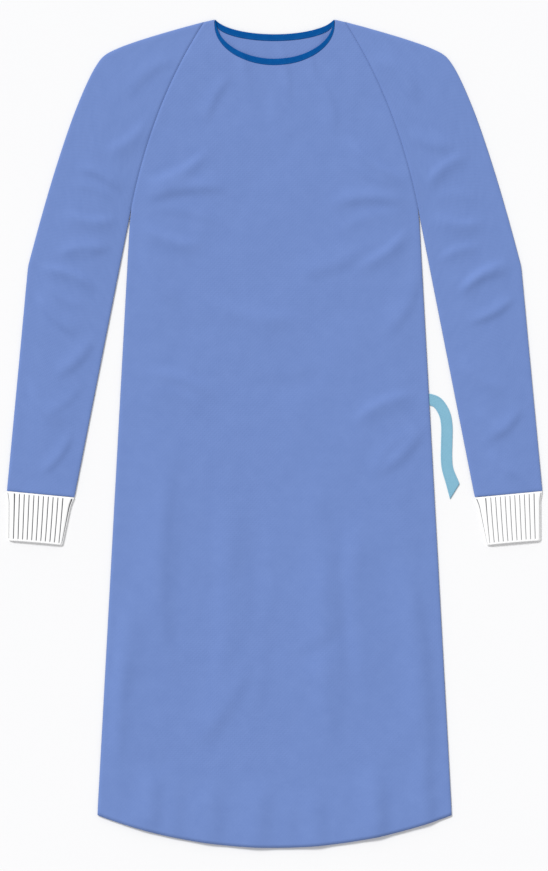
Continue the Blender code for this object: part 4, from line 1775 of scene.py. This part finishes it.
@dataclass
class WaistTie:
    """A waist tie, a strip folded in three and stitched down, that lies on the surface."""

    drape: Drape
    cloths: Cloths
    thickness: float = 1.0 * MM
    width: float = 17.8 * MM
    end_width: float = 21.5 * MM
    slant: float = 9.0 * MM
    shown_route: tuple[tuple[float, float], ...] = (
        (0.2428, 0.5958), (0.2560, 0.6015), (0.2665, 0.6175), (0.2705, 0.6370),
        (0.2704, 0.6640), (0.2701, 0.6890), (0.2728, 0.7090), (0.2832, 0.7410),
    )
    # Shares of the length from which the shown tie widens, and from which its end slants
    widens_from: float = 0.8
    slants_from: float = 0.5
    hidden_start: float = 0.5870
    hidden_length: float = 0.1600
    # The stitch rows' distance from the edges, as a share of the width, and their height above
    stitch_inset: float = 0.12
    proud: float = 0.05 * MM
    steps: int = 14
    hidden_steps: int = 60
    columns: int = 12

    def strip(self, node: str, near: Array, far: Array) -> None:
        """Args:
            node: the CAD node that it stands for.
            near: the long edge on the right of its way, as plan places.
            far: the one on the left.
        """
        plan, name = self.drape.plan, f"{node}_strip"
        level = self.thickness / 2
        edges = plan.place(near, level), plan.place(far, level)
        up = np.tile([0.0, 0.0, 1.0], (len(near), 1))
        data = strip_data(*edges, up, level, self.columns)
        piece = make_piece(name, data, [self.cloths.tie, self.cloths.tie])
        declare(piece, "tie_cloth", node)
        rows = [
            plan.place(lerp(near, far, np.full(len(near), share)), self.thickness + self.proud)
            for share in (self.stitch_inset, 1 - self.stitch_inset)
        ]
        sewn = Stitching().sew(f"{name}_stitches", rows, self.cloths.tie_thread, "tie_cloth")

    def shown(self) -> None:
        """Makes the left tie, from the side seam in a curve down to its slanted end."""
        plan = self.drape.plan
        route = smooth_route(self.shown_route, self.steps)
        heading = unit(np.gradient(route, axis=0))
        aside = np.stack([-heading[:, 1], heading[:, 0]], axis=1)
        length = float(lengths_along(route)[-1])
        share = lengths_along(route) / length
        widening = eased((share - self.widens_from) / (1 - self.widens_from))
        half = (self.width + (self.end_width - self.width) * widening[:, None]) / 2
        last = eased((share - self.slants_from) / (1 - self.slants_from))[:, None] * heading
        left = route + aside * half + last * self.slant
        right = route - aside * half - last * self.slant
        for edge, half_width in ((left, self.width / 2), (right, -self.width / 2)):
            down = route[0, 1] + half_width - plan.underarm[1]
            at = down / (plan.hem_corner[1] - plan.underarm[1])
            edge[0] = lerp(plan.underarm, plan.hem_corner, at) + (plan.seam_gap, 0.0)
        self.strip("waist_tie_left", right, left)

    def hidden(self, body: Body) -> None:
        """Makes the right tie, along the outer lap's free edge and under the inner lap.

        Args:
            body: the body, whose outer lap it is sewn to.
        """
        plan = self.drape.plan
        neck_end = plan.back_seam.at_out(np.array([body.outer_lap[0]]))[0]
        hem_end = plan.hem(np.array([body.outer_lap[1]]))[0]
        drops = self.hidden_start + np.linspace(0, self.hidden_length, self.hidden_steps)
        edge = lerp(neck_end, hem_end, (drops - neck_end[1]) / (hem_end[1] - neck_end[1]))
        sewn = edge + (2 * plan.seam_gap, 0.0)
        self.strip("waist_tie_right", sewn + (self.width, 0.0), sewn)


@dataclass
class Seams:
    """The thread that shows in the gown's seams."""

    drape: Drape
    cloths: Cloths
    proud: float = 0.15 * MM
    raglan_points: int = 220
    side_points: int = 300
    side_pitch: float = 3.6 * MM
    # How many points the rows on the folds start after the underarm, and stop before their end
    first_points: int = 4
    last_points: int = 3

    def raglan_rows(self) -> list[Array]:
        """Draws the raglan seams, on the upper and on the lower side.

        Returns:
            The rows' points in the frame.
        """
        plan, rows = self.drape.plan, []
        seam = route_at(plan.raglan(), np.linspace(0, 1, self.raglan_points))
        for side in Side:
            places = seam * (side.value, 1)
            upper = self.drape.upper(places) + self.drape.layers.cloth / 2 + self.proud
            lower = self.drape.lower(places) - self.drape.layers.cloth / 2 - self.proud
            rows += [plan.place(places, upper), plan.place(places, lower)]
        return rows

    def fold_rows(self) -> list[Array]:
        """Draws the side seams and the sleeves' underarm seams, on the turn of the cloth.

        Returns:
            The rows' points in the frame.
        """
        plan, rows = self.drape.plan, []
        sides = [np.array([plan.underarm, end]) for end in (plan.hem_corner, plan.wrist_inner)]
        half = self.drape.layers.cloth / 2
        share = np.linspace(0, 1, self.side_points)[self.first_points : -self.last_points]
        for side in Side:
            for ends, outward in zip(sides, (half, -half)):
                route = route_at(ends, share)
                places = (route + (outward, 0.0)) * (side.value, 1)
                rows.append(plan.place(places, self.drape.fold_level(route * (side.value, 1))))
        return rows

    def build(self) -> None:
        """Makes the stitches of the raglan seams, and those of the side and underarm seams."""
        thread = self.cloths.seam_thread
        Stitching().sew("raglan_seam_stitches", self.raglan_rows(), thread, "gown_cloth")
        side_stitching = Stitching(pitch=self.side_pitch)
        side_stitching.sew("side_seam_stitches", self.fold_rows(), thread, "gown_cloth")


@dataclass
class Studio:
    """A pale paper floor, a soft sun and a pale sky, and a camera straight above."""

    floor_size: float = 80.0
    floor_ticks: int = 9
    floor_below: float = 0.3 * MM
    # The view's height at the gown, and where its middle lies
    view_height: float = 1.3685
    view_centre: tuple[float, float] = (-0.0009, -0.0029)
    lens: float = 100.0
    sensor: float = 36.0
    sun_strength: float = 2.3
    sun_angle: float = math.radians(14)
    sun_turn: tuple[float, float, float] = (math.radians(47), 0.0, math.radians(218))
    sky_strength: float = 0.60
    sky_colour: str = "FCFCFD"
    far_clip: float = 100.0

    def build(self) -> None:
        """Puts up the floor, the lights and the camera."""
        self.floor()
        self.lights()
        self.camera()

    def floor(self) -> None:
        """Lays the floor, a square grid of paper just below the gown."""
        half = self.floor_size / 2
        ticks = np.linspace(-half, half, self.floor_ticks)
        x, y = np.meshgrid(ticks, ticks)
        points = np.stack([x, y, np.full_like(x, -self.floor_below)], axis=-1).reshape(-1, 3)
        quads = grid_quads(np.arange(x.size).reshape(x.shape))
        data = MeshData(points, quads, np.zeros(len(quads), np.int64), points[quads][..., :2])
        paper = StudioPaper("studio_paper", "F4F4F4", "F2F2F3").make()
        make_piece("floor", data, [paper])

    def lights(self) -> None:
        """Sets a soft sun from the upper left and an even sky."""
        sun = bpy.data.lights.new("key_sun", "SUN")
        sun.energy = self.sun_strength
        sun.angle = self.sun_angle
        holder = bpy.data.objects.new("key_sun", sun)
        holder.rotation_euler = self.sun_turn
        bpy.context.scene.collection.objects.link(holder)
        world = bpy.data.worlds.new("studio_sky")
        world.use_nodes = True
        sky = world.node_tree.nodes["Background"]
        sky.inputs["Color"].default_value = hex_colour(self.sky_colour)
        sky.inputs["Strength"].default_value = self.sky_strength
        bpy.context.scene.world = world

    def camera(self) -> None:
        """Hangs the camera straight above, as high as its view needs."""
        lens = bpy.data.cameras.new("camera")
        lens.lens, lens.sensor_width = self.lens, self.sensor
        lens.clip_end = self.far_clip
        camera = bpy.data.objects.new("camera", lens)
        rise = self.view_height * self.lens / self.sensor
        camera.location = (*self.view_centre, rise)
        bpy.context.scene.collection.objects.link(camera)
        bpy.context.scene.camera = camera
        bpy.context.scene.view_settings.view_transform = "Standard"


def main() -> None:
    """Builds the gown's pieces in order, from the surface up."""
    logging.basicConfig(level=logging.INFO, format="%(name)s %(message)s")
    plan = Plan.from_frame()
    drape = Drape(plan, Layers())
    cloths = Cloths.make()
    Studio().build()
    body = Body(drape, cloths)
    body.build()
    for side in Side:
        Sleeve(drape, cloths, side).build()
        Cuff(drape, cloths, side).build()
    NeckBinding(drape, cloths, body).build()
    tie = WaistTie(drape, cloths)
    tie.shown()
    tie.hidden(body)
    Seams(drape, cloths).build()


if __name__ == "__main__":
    main()
